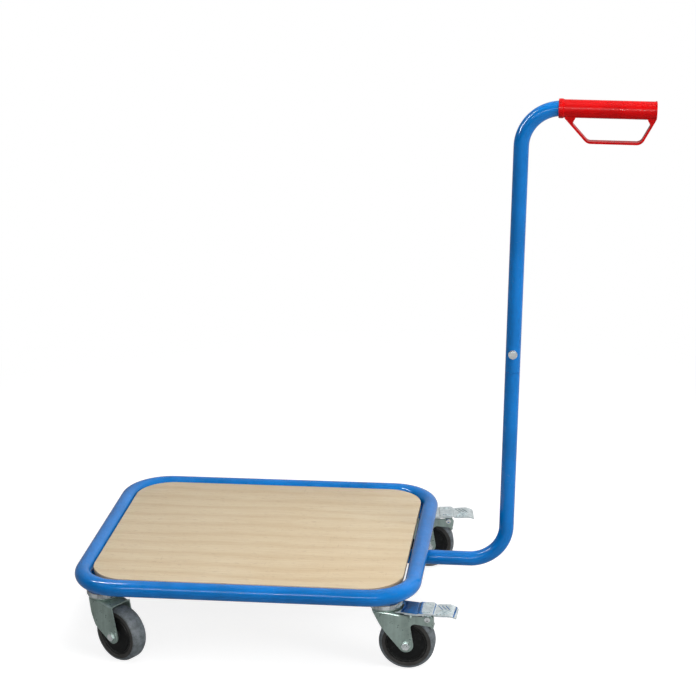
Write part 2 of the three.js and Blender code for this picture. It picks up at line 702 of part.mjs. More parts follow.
/** The hand guard: a bent strap with small webs where it meets the sleeve. */
function handGuard() {
  const radius = GRIP_DIAMETER / 2;
  const end = GRIP_LENGTH - GRIP_EDGE_RADIUS;
  const foot = new THREE.Vector2(GUARD_FOOT_START, radius);
  const startSlope = new THREE.Vector2(GUARD_BOTTOM_START, GUARD_DEPTH).sub(foot);
  const endSlope = new THREE.Vector2(end - GUARD_BOTTOM_END, GUARD_DEPTH - radius);
  const startShift = (GUARD_STRAP * (startSlope.length() - startSlope.x)) / startSlope.y;
  const endShift = (GUARD_STRAP * (endSlope.length() - endSlope.x)) / endSlope.y;
  const startRun = (GUARD_STRAP * startSlope.length()) / startSlope.y;
  const endRun = (GUARD_STRAP * endSlope.length()) / endSlope.y;
  const webShare = GUARD_WEB_HEIGHT / startSlope.y;
  const startWeb = foot.x + startRun + startSlope.x * webShare;
  const endWeb = end - endRun - endSlope.x * webShare;
  const outer = roundedOutline([
    [foot.x, 0],
    [foot.x, -radius],
    [GUARD_BOTTOM_START, -GUARD_DEPTH, GUARD_CORNER_RADIUS],
    [GUARD_BOTTOM_END, -GUARD_DEPTH, GUARD_CORNER_RADIUS],
    [end, -radius],
    [end, 0],
  ]);
  const inner = roundedOutline([
    [startWeb + GUARD_WEB_RUN, -radius / 2],
    [startWeb + GUARD_WEB_RUN, -radius],
    [startWeb, -radius - GUARD_WEB_HEIGHT],
    [GUARD_BOTTOM_START + startShift, GUARD_STRAP - GUARD_DEPTH, GUARD_CORNER_RADIUS - GUARD_STRAP],
    [GUARD_BOTTOM_END - endShift, GUARD_STRAP - GUARD_DEPTH, GUARD_CORNER_RADIUS - GUARD_STRAP],
    [endWeb, -radius - GUARD_WEB_HEIGHT],
    [endWeb - GUARD_WEB_RUN, -radius],
    [endWeb - GUARD_WEB_RUN, -radius / 2],
  ]);
  const half = GUARD_WIDTH / 2;
  const opening = solid(sidePrism(inner, -half - CUT_OVERRUN, half + CUT_OVERRUN));
  return solid(sidePrism(outer, -half, half)).subtract(opening);
}

/** The whole grip, with its axis along +X and a flared mouth at x = 0. */
function grip() {
  const radius = handleTubeRadius + SEAT_GAP;
  const bore = turned([
    [0, -CUT_OVERRUN],
    [radius + MOUTH_FLARE, -CUT_OVERRUN],
    [radius, MOUTH_FLARE_LENGTH],
    [radius, GRIP_LENGTH - GRIP_END_WALL],
    [0, GRIP_LENGTH - GRIP_END_WALL],
  ], TUBE_SIDES);
  return gripSleeve().add(handGuard()).subtract(solid(bore.rotateY(Math.PI / 2)));
}

/** The grip on the end of the upper tube. */
function placedGrip() {
  const mesh = piece('grip', grip(), redPlastic);
  const mouth = onUpright(GRIP_AXIS_HEIGHT);
  mouth.x += GRIP_START * Math.cos(gripDroop);
  mouth.z -= GRIP_START * Math.sin(gripDroop);
  mesh.position.copy(mouth);
  mesh.rotation.y = gripDroop;
  return mesh;
}

/** The fixed swivel head: a cupped plate with a skirt over the balls and a hollow neck. */
function casterHead() {
  const skirtBottom = headTop - HEAD_SKIRT_DROP;
  const bore = KING_BOLT_DIAMETER / 2 + SEAT_GAP;
  return solid(turned([
    [bore, neckBottom],
    [HEAD_NECK_RADIUS, neckBottom],
    [HEAD_NECK_RADIUS, headPlateBottom],
    [HEAD_RADIUS - HEAD_SKIRT_WALL, headPlateBottom],
    [HEAD_RADIUS - HEAD_SKIRT_WALL, skirtBottom],
    [HEAD_RADIUS, skirtBottom],
    [HEAD_RADIUS, headTop - HEAD_BEND_RADIUS],
    [HEAD_RADIUS - HEAD_BEND_RADIUS, headTop],
    [bore, headTop],
    [bore, neckBottom],
  ], HEAD_SIDES));
}

/** The ball race: a flat cage ring with the balls it carries. */
function ballRing() {
  const middle = (BOSS_HEIGHT + headPlateBottom) / 2;
  const inner = RACE_RADIUS - CAGE_WIDTH / 2;
  const outer = RACE_RADIUS + CAGE_WIDTH / 2;
  const cage = solid(turned([
    [inner, middle - CAGE_THICKNESS / 2],
    [outer, middle - CAGE_THICKNESS / 2],
    [outer, middle + CAGE_THICKNESS / 2],
    [inner, middle + CAGE_THICKNESS / 2],
    [inner, middle - CAGE_THICKNESS / 2],
  ], BALL_COUNT));
  const ball = new THREE.SphereGeometry(ballDiameter / 2, BALL_SIDES, BALL_RINGS);
  ball.rotateX(Math.PI / 2);
  const balls = circlePoints(RACE_RADIUS, BALL_COUNT).map((place) =>
    solid(moved(ball.clone(), place.x, place.y, middle)));
  return joined([cage, ...balls]);
}

/** The bolt that holds a caster, head on the corner plate. */
function kingBolt() {
  const headBottom = plateTop + SEAT_GAP;
  const end = neckBottom - SEAT_GAP - KING_NUT_HEIGHT - KING_STUB;
  return joined([
    solid(hexBar(KING_ACROSS_FLATS, headBottom, headBottom + KING_HEAD_HEIGHT)),
    solid(bar(KING_BOLT_DIAMETER / 2, end, headBottom + JOIN_LAP, SMALL_SIDES)),
  ]);
}

/** The flanged nut below the neck, which keeps the fork on its head. */
function kingNut() {
  const top = neckBottom - SEAT_GAP;
  const bottom = top - KING_NUT_HEIGHT;
  const bore = bar(
    KING_BOLT_DIAMETER / 2 + SEAT_GAP,
    bottom - CUT_OVERRUN,
    top + CUT_OVERRUN,
    SMALL_SIDES,
  );
  return joined([
    solid(hexBar(KING_ACROSS_FLATS, bottom, top)),
    solid(bar(KING_FLANGE_DIAMETER / 2, top - KING_FLANGE_THICKNESS, top)),
  ]).subtract(solid(bore));
}

/** Half the width of the fork's crown and legs at a distance along the trail. */
function crownHalfWidth(x) {
  const run = Math.max(CROWN_SIDE_START - x, 0);
  return FORK_HALF_WIDTH - CROWN_SIDE_RADIUS + Math.sqrt(CROWN_SIDE_RADIUS ** 2 - run ** 2);
}

/** One upright section of the fork, shrunk by an inset. */
function crownSection(x, height, inset) {
  const halfWidth = crownHalfWidth(x) - inset;
  const radius = FORK_SHOULDER_RADIUS - inset;
  const top = height - inset;
  return [
    new THREE.Vector2(-halfWidth, FORK_FOOT - inset),
    new THREE.Vector2(halfWidth, FORK_FOOT - inset),
    ...arcPoints(halfWidth - radius, top - radius, radius, 0, 90, SHOULDER_STEPS),
    ...arcPoints(radius - halfWidth, top - radius, radius, 90, 180, SHOULDER_STEPS),
  ].map((point) => new THREE.Vector3(x, point.x, point.y));
}

/** The fork's bent sheet as far as the end of its roof, before its side outline is cut. */
function crownShell(roofEnd) {
  const slope = (CROWN_HEIGHT - BRIDGE_END_HEIGHT) / (BRIDGE_END - CROWN_SIDE_START);
  const stations = [
    [-CROWN_FRONT, CROWN_HEIGHT],
    [-CROWN_FRONT / 2, CROWN_HEIGHT],
    [CROWN_SIDE_START, CROWN_HEIGHT],
    [roofEnd, CROWN_HEIGHT - slope * (roofEnd - CROWN_SIDE_START)],
  ];
  const outside = stations.map(([x, height]) => crownSection(x, height, 0));
  const inside = stations.map(([x, height]) => crownSection(x, height, FORK_SHEET));
  inside.at(0).forEach((point) => point.setX(point.x - CUT_OVERRUN));
  inside.at(-1).forEach((point) => point.setX(point.x + CUT_OVERRUN));
  return solid(lofted(outside)).subtract(solid(lofted(inside)));
}

/** The two flat legs with a side outline, from a distance along the trail onwards. */
function legPlates(outline, from) {
  const reach = HORN_TIP + CUT_OVERRUN;
  const frame = roundedOutline([
    [from, 0],
    [reach, 0],
    [reach, CASTER_HEIGHT],
    [from, CASTER_HEIGHT],
  ]);
  return joined([-1, 1].map((side) => {
    const [inner, outer] = [side * legInside, side * FORK_HALF_WIDTH].sort((a, b) => a - b);
    const nose = bar(FORK_NOSE_RADIUS, inner, outer, HEAD_SIDES);
    const plate = solid(sidePrism(outline, inner, outer));
    const leg = plate.add(solid(alongY(nose, CASTER_TRAIL, wheelRadius)));
    return leg.intersect(solid(sidePrism(frame, inner, outer)));
  }));
}

/** The raised race boss on top of the fork's crown. */
function crownBoss() {
  return solid(turned([
    [0, crownUnderside],
    [BOSS_FOOT_RADIUS, crownUnderside],
    [BOSS_RADIUS, BOSS_HEIGHT - BOSS_RIM],
    [BOSS_RADIUS, BOSS_HEIGHT],
    [0, BOSS_HEIGHT],
  ], HEAD_SIDES));
}

/** A fork from its side outline: crown shell, legs with round noses, race boss and holes. */
function forkBody(outline, roofEnd) {
  const half = FORK_HALF_WIDTH + CUT_OVERRUN;
  const nose = bar(FORK_NOSE_RADIUS, -half, half, HEAD_SIDES);
  const sideBlock = solid(sidePrism(outline, -half, half))
    .add(solid(alongY(nose, CASTER_TRAIL, wheelRadius)));
  const crown = crownShell(roofEnd).intersect(sideBlock);
  const plates = legPlates(outline, roofEnd - JOIN_LAP);
  const axle = bar(AXLE_DIAMETER / 2 + SEAT_GAP, -half, half, SMALL_SIDES);
  const neck = bar(HEAD_NECK_RADIUS + RUNNING_GAP, 0, CASTER_HEIGHT, HEAD_SIDES);
  const nutSpace = bar(KING_FLANGE_DIAMETER / 2 + CUT_OVERRUN, 0, crownUnderside, HEAD_SIDES);
  return joined([crown, plates, crownBoss()])
    .subtract(solid(alongY(axle, CASTER_TRAIL, wheelRadius)))
    .subtract(solid(nutSpace))
    .subtract(solid(neck));
}

/** A fork without a brake. */
function plainFork() {
  const nose = [CASTER_TRAIL, wheelRadius, FORK_NOSE_RADIUS];
  const end = [BRIDGE_END, BRIDGE_END_HEIGHT];
  const outline = roundedOutline([
    [-CROWN_FRONT, CROWN_HEIGHT],
    [...PLAIN_FRONT_WAIST, PLAIN_FRONT_WAIST_RADIUS],
    [...PLAIN_FRONT_KNEE, FORK_KNEE_RADIUS],
    tangentPoint(PLAIN_FRONT_KNEE, ...nose, 1),
    tangentPoint(end, ...nose, -1),
    end,
    [CROWN_SIDE_START, CROWN_HEIGHT],
  ]);
  return forkBody(outline, BRIDGE_END);
}

/** A fork with horns for the brake pin and a spacer rivet between its legs. */
function brakedFork() {
  const nose = [CASTER_TRAIL, wheelRadius, FORK_NOSE_RADIUS];
  const outline = roundedOutline([
    [-CROWN_FRONT, CROWN_HEIGHT],
    [...BRAKED_FRONT_KNEE, FORK_KNEE_RADIUS],
    tangentPoint(BRAKED_FRONT_KNEE, ...nose, 1),
    tangentPoint(HORN_ARCH_FOOT, ...nose, -1),
    HORN_ARCH_FOOT,
    [...HORN_ARCH_TOP, HORN_ARCH_RADIUS],
    [...HORN_UNDERSIDE_END, HORN_UNDERSIDE_RADIUS],
    [HORN_TIP, HORN_TOP_HEIGHT, HORN_TOP_RADIUS],
    [BRIDGE_END, HORN_TOP_HEIGHT],
    [CROWN_SIDE_START, CROWN_HEIGHT],
  ]);
  const half = FORK_HALF_WIDTH + SPACER_RIVET_HEAD_HEIGHT;
  const headRadius = SPACER_RIVET_HEAD_DIAMETER / 2;
  const rivet = joined([
    bar(SPACER_RIVET_DIAMETER / 2, -FORK_HALF_WIDTH, FORK_HALF_WIDTH, SMALL_SIDES),
    bar(headRadius, -half, -legInside - JOIN_LAP, SMALL_SIDES),
    bar(headRadius, legInside + JOIN_LAP, half, SMALL_SIDES),
  ].map((part) => solid(alongY(part, ...SPACER_RIVET))));
  const pinHole = brakePinBar(BRAKE_PIN_DIAMETER / 2 + SEAT_GAP, FORK_HALF_WIDTH + CUT_OVERRUN);
  return forkBody(outline, BRAKED_ROOF_END).add(rivet).subtract(pinHole);
}

/** A bar along the brake's hinge axis. */
function brakePinBar(radius, half) {
  return solid(alongY(bar(radius, -half, half), ...BRAKE_PIVOT));
}

/** The brake pin with a round head outside each horn. */
function brakePin() {
  const seat = FORK_HALF_WIDTH + SEAT_GAP;
  const heads = [-1, 1].map((side) => {
    const ends = [side * seat, side * (seat + BRAKE_PIN_HEAD_HEIGHT)].sort((a, b) => a - b);
    return solid(alongY(bar(BRAKE_PIN_HEAD_DIAMETER / 2, ...ends), ...BRAKE_PIVOT));
  });
  return joined([brakePinBar(BRAKE_PIN_DIAMETER / 2, seat + BRAKE_PIN_HEAD_HEIGHT / 2), ...heads]);
}

/** The pedal's long section, from a lift above its top face to a drop below it. */
function pedalSection(lift, drop, half) {
  const line = [
    PEDAL_FRONT,
    PEDAL_WEB_END,
    PEDAL_BOX_START,
    PEDAL_BOX_END,
    PEDAL_TREAD_START,
    PEDAL_TREAD_CREST,
    PEDAL_TREAD_ROLL,
    PEDAL_TIP,
  ];
  const above = line.map(([x, z]) => new THREE.Vector2(x, z + lift)).reverse();
  const below = line.map(([x, z]) => new THREE.Vector2(x, z - drop));
  return solid(sidePrism([...below, ...above], -half, half));
}

/** The pedal's outline seen from above, as a tall block. */
function pedalPlan() {
  const [front] = PEDAL_FRONT;
  const [boxEnd] = PEDAL_BOX_END;
  const [treadStart] = PEDAL_TREAD_START;
  const [crest] = PEDAL_TREAD_CREST;
  const tip = PEDAL_TIP[0] + CUT_OVERRUN;
  const half = [
    [tip, PEDAL_TIP_HALF_WIDTH, PEDAL_CORNER_RADIUS],
    [crest, PEDAL_HALF_WIDTH],
    [treadStart + PEDAL_CORNER_RADIUS, PEDAL_HALF_WIDTH],
    [treadStart, PEDAL_WAIST_HALF_WIDTH],
    [boxEnd - PEDAL_SHEET, PEDAL_HALF_WIDTH],
    [front, PEDAL_HALF_WIDTH],
  ];
  const mirrored = half.map(([x, y, radius]) => [x, -y, radius]).reverse();
  return solid(prism(roundedOutline([...half, ...mirrored], SHOULDER_STEPS), CASTER_HEIGHT));
}

/** A raised chevron on the pedal's tread, as a tall block. */
function chevron(start) {
  const outline = roundedOutline([
    [start, -CHEVRON_HALF_WIDTH],
    [start + CHEVRON_WIDTH, -CHEVRON_HALF_WIDTH],
    [start + CHEVRON_RUN + CHEVRON_WIDTH, 0],
    [start + CHEVRON_WIDTH, CHEVRON_HALF_WIDTH],
    [start, CHEVRON_HALF_WIDTH],
    [start + CHEVRON_RUN, 0],
  ]);
  return solid(prism(outline, CASTER_HEIGHT));
}

/** A tall rectangular block between distances along the trail, centred on y = 0. */
function tallBlock(from, to, halfWidth) {
  return solid(prism(roundedOutline([
    [from, -halfWidth],
    [to, -halfWidth],
    [to, halfWidth],
    [from, halfWidth],
  ]), CASTER_HEIGHT));
}

/** The pedal: a long pressed plate with side lips, ribs, a chevron tread and two ears. */
function brakePedal() {
  const [pivotX, pivotZ] = BRAKE_PIVOT;
  const [boxEnd, boxHeight] = PEDAL_BOX_END;
  const plate = pedalSection(0, PEDAL_SHEET, PEDAL_HALF_WIDTH + CUT_OVERRUN).intersect(pedalPlan());
  const ribs = joined([
    tallBlock(PEDAL_RIDGE_START, PEDAL_RIDGE_END, PEDAL_RIDGE_HALF_WIDTH),
    ...CHEVRON_STARTS.map(chevron),
  ]).intersect(pedalSection(PEDAL_RIB_HEIGHT, PEDAL_SHEET / 2, PEDAL_HALF_WIDTH));
  const lips = pedalSection(0, PEDAL_LIP_DROP, PEDAL_HALF_WIDTH + CUT_OVERRUN)
    .intersect(tallBlock(PEDAL_LIP_START, boxEnd - PEDAL_SHEET, PEDAL_HALF_WIDTH))
    .subtract(tallBlock(0, PEDAL_TIP[0], PEDAL_HALF_WIDTH - PEDAL_SHEET / 2));
  const earTop = boxHeight - PEDAL_SHEET / 2;
  const earOutline = [
    ...arcPoints(pivotX, pivotZ, PEDAL_EAR_RADIUS, 180, 360, 2 * ARC_STEPS),
    new THREE.Vector2(pivotX + PEDAL_EAR_RADIUS, earTop),
    new THREE.Vector2(pivotX - PEDAL_EAR_RADIUS, earTop),
  ];
  const earOutside = legInside - PEDAL_EAR_GAP;
  const earInside = earOutside - PEDAL_EAR_SHEET;
  const ears = [
    solid(sidePrism(earOutline, -earOutside, -earInside)),
    solid(sidePrism(earOutline, earInside, earOutside)),
  ];
  const clearance = bar(HEAD_RADIUS + PEDAL_HEAD_GAP, 0, CASTER_HEIGHT, 2 * HEAD_SIDES);
  return joined([plate, ribs, lips, ...ears])
    .subtract(brakePinBar(BRAKE_PIN_DIAMETER / 2 + SEAT_GAP, FORK_HALF_WIDTH))
    .subtract(solid(clearance));
}

/** A point of the pressed brake, turned back about the pivot to where it rests. */
function releasedPoint(x, z) {
  const pivot = new THREE.Vector2(...BRAKE_PIVOT);
  const angle = THREE.MathUtils.degToRad(BRAKE_TRAVEL_DEGREES);
  return new THREE.Vector2(x, z).rotateAround(pivot, angle).toArray();
}

/** The shoe: a curved pad that fits the tyre when it is pressed, on a stem below the pedal. */
function brakeShoe() {
  const inner = wheelRadius + SHOE_PRESSED_GAP;
  const outer = inner + SHOE_THICKNESS;
  const place = releasedPoint(CASTER_TRAIL, wheelRadius);
  const start = SHOE_START_DEGREES + BRAKE_TRAVEL_DEGREES;
  const end = SHOE_END_DEGREES + BRAKE_TRAVEL_DEGREES;
  const pad = [
    ...arcPoints(...place, inner, end, start),
    ...arcPoints(...place, outer, start, end),
  ];
  const stemTop = PEDAL_BOX_END[1] - PEDAL_SHEET - SEAT_GAP;
  const stem = roundedOutline([
    [SHOE_STEM_START, SHOE_STEM_FOOT_HEIGHT],
    [SHOE_STEM_END, SHOE_STEM_FOOT_HEIGHT],
    [SHOE_STEM_END, stemTop],
    [SHOE_STEM_START, stemTop],
  ]);
  const stemBody = solid(sidePrism(stem, -SHOE_STEM_WIDTH / 2, SHOE_STEM_WIDTH / 2));
  const wheelSpace = bar(inner + JOIN_LAP, -SHOE_WIDTH, SHOE_WIDTH, 2 * WHEEL_SIDES);
  const padBody = solid(sidePrism(pad, -SHOE_WIDTH / 2, SHOE_WIDTH / 2));
  return stemBody.subtract(solid(alongY(wheelSpace, ...place))).add(padBody);
}

/** The wheel hub about the Z axis, with a bore, bosses and a groove in each face. */
function wheelHub() {
  const bore = AXLE_TUBE_DIAMETER / 2 + SEAT_GAP;
  const bossFace = legInside - SEAT_GAP - RUNNING_GAP;
  const face = HUB_WIDTH / 2;
  const groove = face - HUB_GROOVE_DEPTH;
  const upper = [
    [bore, bossFace],
    [HUB_BOSS_RADIUS, bossFace],
    [HUB_BOSS_FOOT_RADIUS, face],
    [HUB_GROOVE_INNER, face],
    [(HUB_GROOVE_INNER + HUB_GROOVE_OUTER) / 2, groove],
    [HUB_GROOVE_OUTER, face],
    [HUB_RADIUS, face],
  ];
  const lower = upper.map(([radius, z]) => [radius, -z]);
  return solid(turned([...lower, ...upper.reverse(), lower[0]], HUB_SIDES));
}

/** The tyre about the Z axis; its flats, not its corners, touch the floor. */
function tyre() {
  const flatShare = 1 / Math.cos(Math.PI / WHEEL_SIDES);
  const upper = [
    [HUB_RADIUS + SEAT_GAP, TYRE_WIDTH / 2],
    [TYRE_SIDE_RADIUS, TYRE_WIDTH / 2],
    [wheelRadius, TYRE_TREAD_WIDTH / 2],
  ].map(([radius, z]) => [radius * flatShare, z]);
  const lower = upper.map(([radius, z]) => [radius, -z]);
  return solid(turned([...lower, ...upper.reverse(), lower[0]], WHEEL_SIDES, Math.PI / WHEEL_SIDES));
}

/** The fixed tube that the hub turns on. */
function axleTube() {
  const half = legInside - SEAT_GAP;
  const outer = AXLE_TUBE_DIAMETER / 2;
  const inner = AXLE_DIAMETER / 2 + SEAT_GAP;
  return solid(turned([
    [inner, -half],
    [outer, -half],
    [outer, half],
    [inner, half],
    [inner, -half],
  ], ROUND_SIDES));
}

/** The axle bolt about the Z axis, with its flanged head below. */
function axleBolt() {
  const seat = FORK_HALF_WIDTH + SEAT_GAP;
  const end = seat + AXLE_NUT_HEIGHT + AXLE_STUB;
  return joined([
    solid(hexBar(AXLE_ACROSS_FLATS, -seat - AXLE_HEAD_HEIGHT, -seat)),
    solid(bar(AXLE_FLANGE_DIAMETER / 2, -seat - AXLE_FLANGE_THICKNESS, -seat)),
    solid(bar(AXLE_DIAMETER / 2, -seat - JOIN_LAP, end, SMALL_SIDES)),
  ]);
}

/** The flanged nut on the axle bolt. */
function axleNut() {
  const seat = FORK_HALF_WIDTH + SEAT_GAP;
  const end = seat + AXLE_NUT_HEIGHT;
  const bore = bar(AXLE_DIAMETER / 2 + SEAT_GAP, seat - CUT_OVERRUN, end + CUT_OVERRUN, SMALL_SIDES);
  return joined([
    solid(hexBar(AXLE_ACROSS_FLATS, seat, end)),
    solid(bar(AXLE_FLANGE_DIAMETER / 2, seat, seat + AXLE_FLANGE_THICKNESS)),
  ]).subtract(solid(bore));
}

/** Lays a wheel piece along the axle, with its upper end towards the given side. */
function placedOnAxle(name, body, finish, side) {
  const mesh = piece(name, body, finish);
  mesh.rotation.x = (-side * Math.PI) / 2;
  mesh.position.set(CASTER_TRAIL, 0, wheelRadius);
  return mesh;
}

/** All pieces of one caster, at its corner and heading. */
function casterGroup(caster) {
  const { name, headSide, braked } = caster;
  const group = new THREE.Group();
  group.add(
    piece(`${name}_caster_head`, casterHead(), zinc),
    piece(`${name}_ball_ring`, ballRing(), zinc),
    piece(`${name}_king_bolt`, kingBolt(), zinc),
    piece(`${name}_king_nut`, kingNut(), zinc),
    piece(`${name}_fork`, braked ? brakedFork() : plainFork(), zinc),
    placedOnAxle(`${name}_axle_bolt`, axleBolt(), zinc, -headSide),
    placedOnAxle(`${name}_axle_nut`, axleNut(), zinc, -headSide),
    placedOnAxle(`${name}_axle_tube`, axleTube(), zinc, 1),
    placedOnAxle(`${name}_wheel_hub`, wheelHub(), blackPlastic, 1),
    placedOnAxle(`${name}_tyre`, tyre(), greyRubber, 1),
  );
  if (braked) {
    group.add(
      piece(`${name}_brake_pin`, brakePin(), zinc),
      piece(`${name}_brake_pedal`, brakePedal(), zinc),
      piece(`${name}_brake_shoe`, brakeShoe(), zinc),
    );
  }
  group.position.set(
    caster.x * (FRAME_LENGTH / 2 - CASTER_INSET_X),
    caster.y * (FRAME_WIDTH / 2 - CASTER_INSET_Y),
    0,
  );
  group.rotation.z = THREE.MathUtils.degToRad(caster.headingDegrees);
  return group;
}

/** A crossbar at its place under the board. */
function placedCrossbar(name, side) {
  const mesh = piece(name, crossbar(), bluePaint);
  mesh.position.x = (side * CROSSBAR_SPACING) / 2;
  return mesh;
}

/** The whole dolly, centred over the middle of its length. */
function dolly() {
  const group = new THREE.Group();
  group.add(
    piece('frame_ring', frameRing(), bluePaint),
    piece('deck_board', deckBoard(), plywood),
    placedCrossbar('crossbar_left', -1),
    placedCrossbar('crossbar_right', 1),
    piece('handle_lower_tube', lowerHandle(), bluePaint),
    piece('handle_upper_tube', upperHandle(), bluePaint),
    piece('handle_spigot', handleSpigot(), zinc),
    placedOnUpright('handle_bolt', handleBolt()),
    placedOnUpright('handle_nut', handleNut()),
    placedGrip(),
    ...CASTERS.map(placedPlate),
    ...CASTERS.map(casterGroup),
  );
  group.position.x = -centreOffset;
  return group;
}

export default dolly();
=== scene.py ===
"""Looks of a transport dolly: bent tube frame, plywood deck, push handle and four swivel casters.

Sizes are written in millimetres in each piece's own frame and turned into metres when a mesh is made.
The pieces of one caster share a frame whose origin is the floor point below the swivel axis, with +X
along the trail of the fork.
"""

import logging
import math
from dataclasses import dataclass, field
from enum import Enum
from typing import Callable, Iterable, Sequence

import bmesh
import bpy
from mathutils import Matrix, Vector


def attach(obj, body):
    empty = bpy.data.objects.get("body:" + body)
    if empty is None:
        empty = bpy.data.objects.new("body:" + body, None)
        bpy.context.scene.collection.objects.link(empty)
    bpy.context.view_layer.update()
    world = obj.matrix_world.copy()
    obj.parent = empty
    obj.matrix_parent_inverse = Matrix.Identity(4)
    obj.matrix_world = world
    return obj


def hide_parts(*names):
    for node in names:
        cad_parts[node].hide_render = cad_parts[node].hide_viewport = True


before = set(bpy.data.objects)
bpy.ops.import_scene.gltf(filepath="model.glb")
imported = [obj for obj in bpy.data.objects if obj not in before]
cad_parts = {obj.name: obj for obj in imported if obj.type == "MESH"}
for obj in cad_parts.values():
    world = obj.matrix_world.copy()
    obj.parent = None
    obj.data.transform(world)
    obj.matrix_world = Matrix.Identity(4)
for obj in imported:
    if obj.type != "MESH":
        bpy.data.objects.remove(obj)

LOG = logging.getLogger("dolly")
MM = 0.001
WELD_DISTANCE = 1e-3
PHOTO_SIDE = 696
SENSOR_WIDTH = 36
# The ends of the whole object along X, before it is centred.
LEFT_END, RIGHT_END = -315, 706.411354
Colour = tuple[float, float, float]
Profile = Sequence[tuple[float, float]]


def srgb(red: int, green: int, blue: int) -> Colour:
    """Turns a display colour of 0 to 255 into linear values.

    Args:
        red: The red share.
        green: The green share.
        blue: The blue share.

    Returns:
        The three linear values.
    """
    shares = (value / 255 for value in (red, green, blue))
    linear = [s / 12.92 if s <= 0.04045 else ((s + 0.055) / 1.055) ** 2.4 for s in shares]
    return (linear[0], linear[1], linear[2])


# Outlines and paths.


def circle(radius: float, sides: int, x: float = 0, y: float = 0) -> list[tuple[float, float]]:
    """Points of a full circle.

    Args:
        radius: Its radius.
        sides: How many points.
        x: First coordinate of the centre.
        y: Second coordinate of the centre.

    Returns:
        The points, turning from the first axis to the second.
    """
    turns = (2 * math.pi * i / sides for i in range(sides))
    return [(x + radius * math.cos(t), y + radius * math.sin(t)) for t in turns]


def arc(x: float, y: float, radius: float, start: float, end: float, steps: int) -> list[tuple[float, float]]:
    """Points along an arc between two angles.

    Args:
        x: First coordinate of the centre.
        y: Second coordinate of the centre.
        radius: The arc's radius.
        start: First angle in degrees.
        end: Last angle in degrees.
        steps: How many parts.

    Returns:
        The points, both ends included.
    """
    turns = (math.radians(start + (end - start) * k / steps) for k in range(steps + 1))
    return [(x + radius * math.cos(t), y + radius * math.sin(t)) for t in turns]


def rounded(corners: Sequence[Sequence[float]], steps: int = 8) -> list[tuple[float, float]]:
    """Rounds the corners of a closed outline.

    Args:
        corners: Corners as (x, y) or (x, y, radius).
        steps: Parts of each rounding.

    Returns:
        The outline's points.
    """
    points: list[tuple[float, float]] = []
    for i, corner in enumerate(corners):
        place = Vector(corner[:2])
        radius = corner[2] if len(corner) > 2 else 0
        if radius == 0:
            points.append((place.x, place.y))
            continue
        back = (Vector(corners[i - 1][:2]) - place).normalized()
        onward = (Vector(corners[(i + 1) % len(corners)][:2]) - place).normalized()
        half = back.angle(onward) / 2
        centre = place + (back + onward).normalized() * (radius / math.sin(half))
        arm = place + back * (radius / math.tan(half)) - centre
        sweep = math.pi - 2 * half
        if back.x * onward.y - back.y * onward.x > 0:
            sweep = -sweep
        for k in range(steps + 1):
            turn = sweep * k / steps
            cos, sin = math.cos(turn), math.sin(turn)
            points.append((centre.x + arm.x * cos - arm.y * sin, centre.y + arm.x * sin + arm.y * cos))
    return points


def rounded_box(half_x: float, half_y: float, radius: float, steps: int = 16) -> list[tuple[float, float]]:
    """An outline of a rectangle with round corners.

    Args:
        half_x: Half its length.
        half_y: Half its width.
        radius: The radius of its corners.
        steps: Parts of each corner.

    Returns:
        The outline's points.
    """
    signs = ((1, -1), (1, 1), (-1, 1), (-1, -1))
    return rounded([(sx * half_x, sy * half_y, radius) for sx, sy in signs], steps)


def tangent_point(point: Sequence[float], centre: Sequence[float], radius: float, side: int) -> tuple[float, float]:
    """Where a line from a point outside touches a circle.

    Args:
        point: The point outside.
        centre: The circle's centre.
        radius: The circle's radius.
        side: 1 or -1 for the side of the circle.

    Returns:
        The touching point.
    """
    away = Vector(point[:2]) - Vector(centre[:2])
    turn = side * math.acos(radius / away.length)
    touch = away.normalized() * radius
    cos, sin = math.cos(turn), math.sin(turn)
    return (centre[0] + touch.x * cos - touch.y * sin, centre[1] + touch.x * sin + touch.y * cos)


@dataclass(frozen=True)
class Station:
    """A point of a centre line and the way it runs there."""

    point: Vector
    direction: Vector


def bent_path(corners: Sequence[Vector], radius: float, steps: int, closed: bool = False) -> list[Station]:
    """A centre line of straight runs that meet in bends of one radius.

    Args:
        corners: The corners of the line.
        radius: The radius of every bend.
        steps: Parts of each bend.
        closed: Whether the line returns to its start.

    Returns:
        The stations along it.
    """
    count = len(corners)
    inner = range(count) if closed else range(1, count - 1)
    stations = [] if closed else [Station(corners[0], (corners[1] - corners[0]).normalized())]
    for i in inner:
        before = (corners[i] - corners[i - 1]).normalized()
        onward = (corners[(i + 1) % count] - corners[i]).normalized()
        turn = before.angle(onward)
        axis = before.cross(onward).normalized()
        start = corners[i] - before * (radius * math.tan(turn / 2))
        centre = start + axis.cross(before) * radius
        for k in range(steps + 1):
            rotation = Matrix.Rotation(turn * k / steps, 3, axis)
            stations.append(Station(centre + rotation @ (start - centre), rotation @ before))
    if not closed:
        stations.append(Station(corners[-1], (corners[-1] - corners[-2]).normalized()))
    return stations


# Solids.


class Join(Enum):
    """How two solids are put together."""

    UNION = "UNION"
    CUT = "DIFFERENCE"
    COMMON = "INTERSECT"


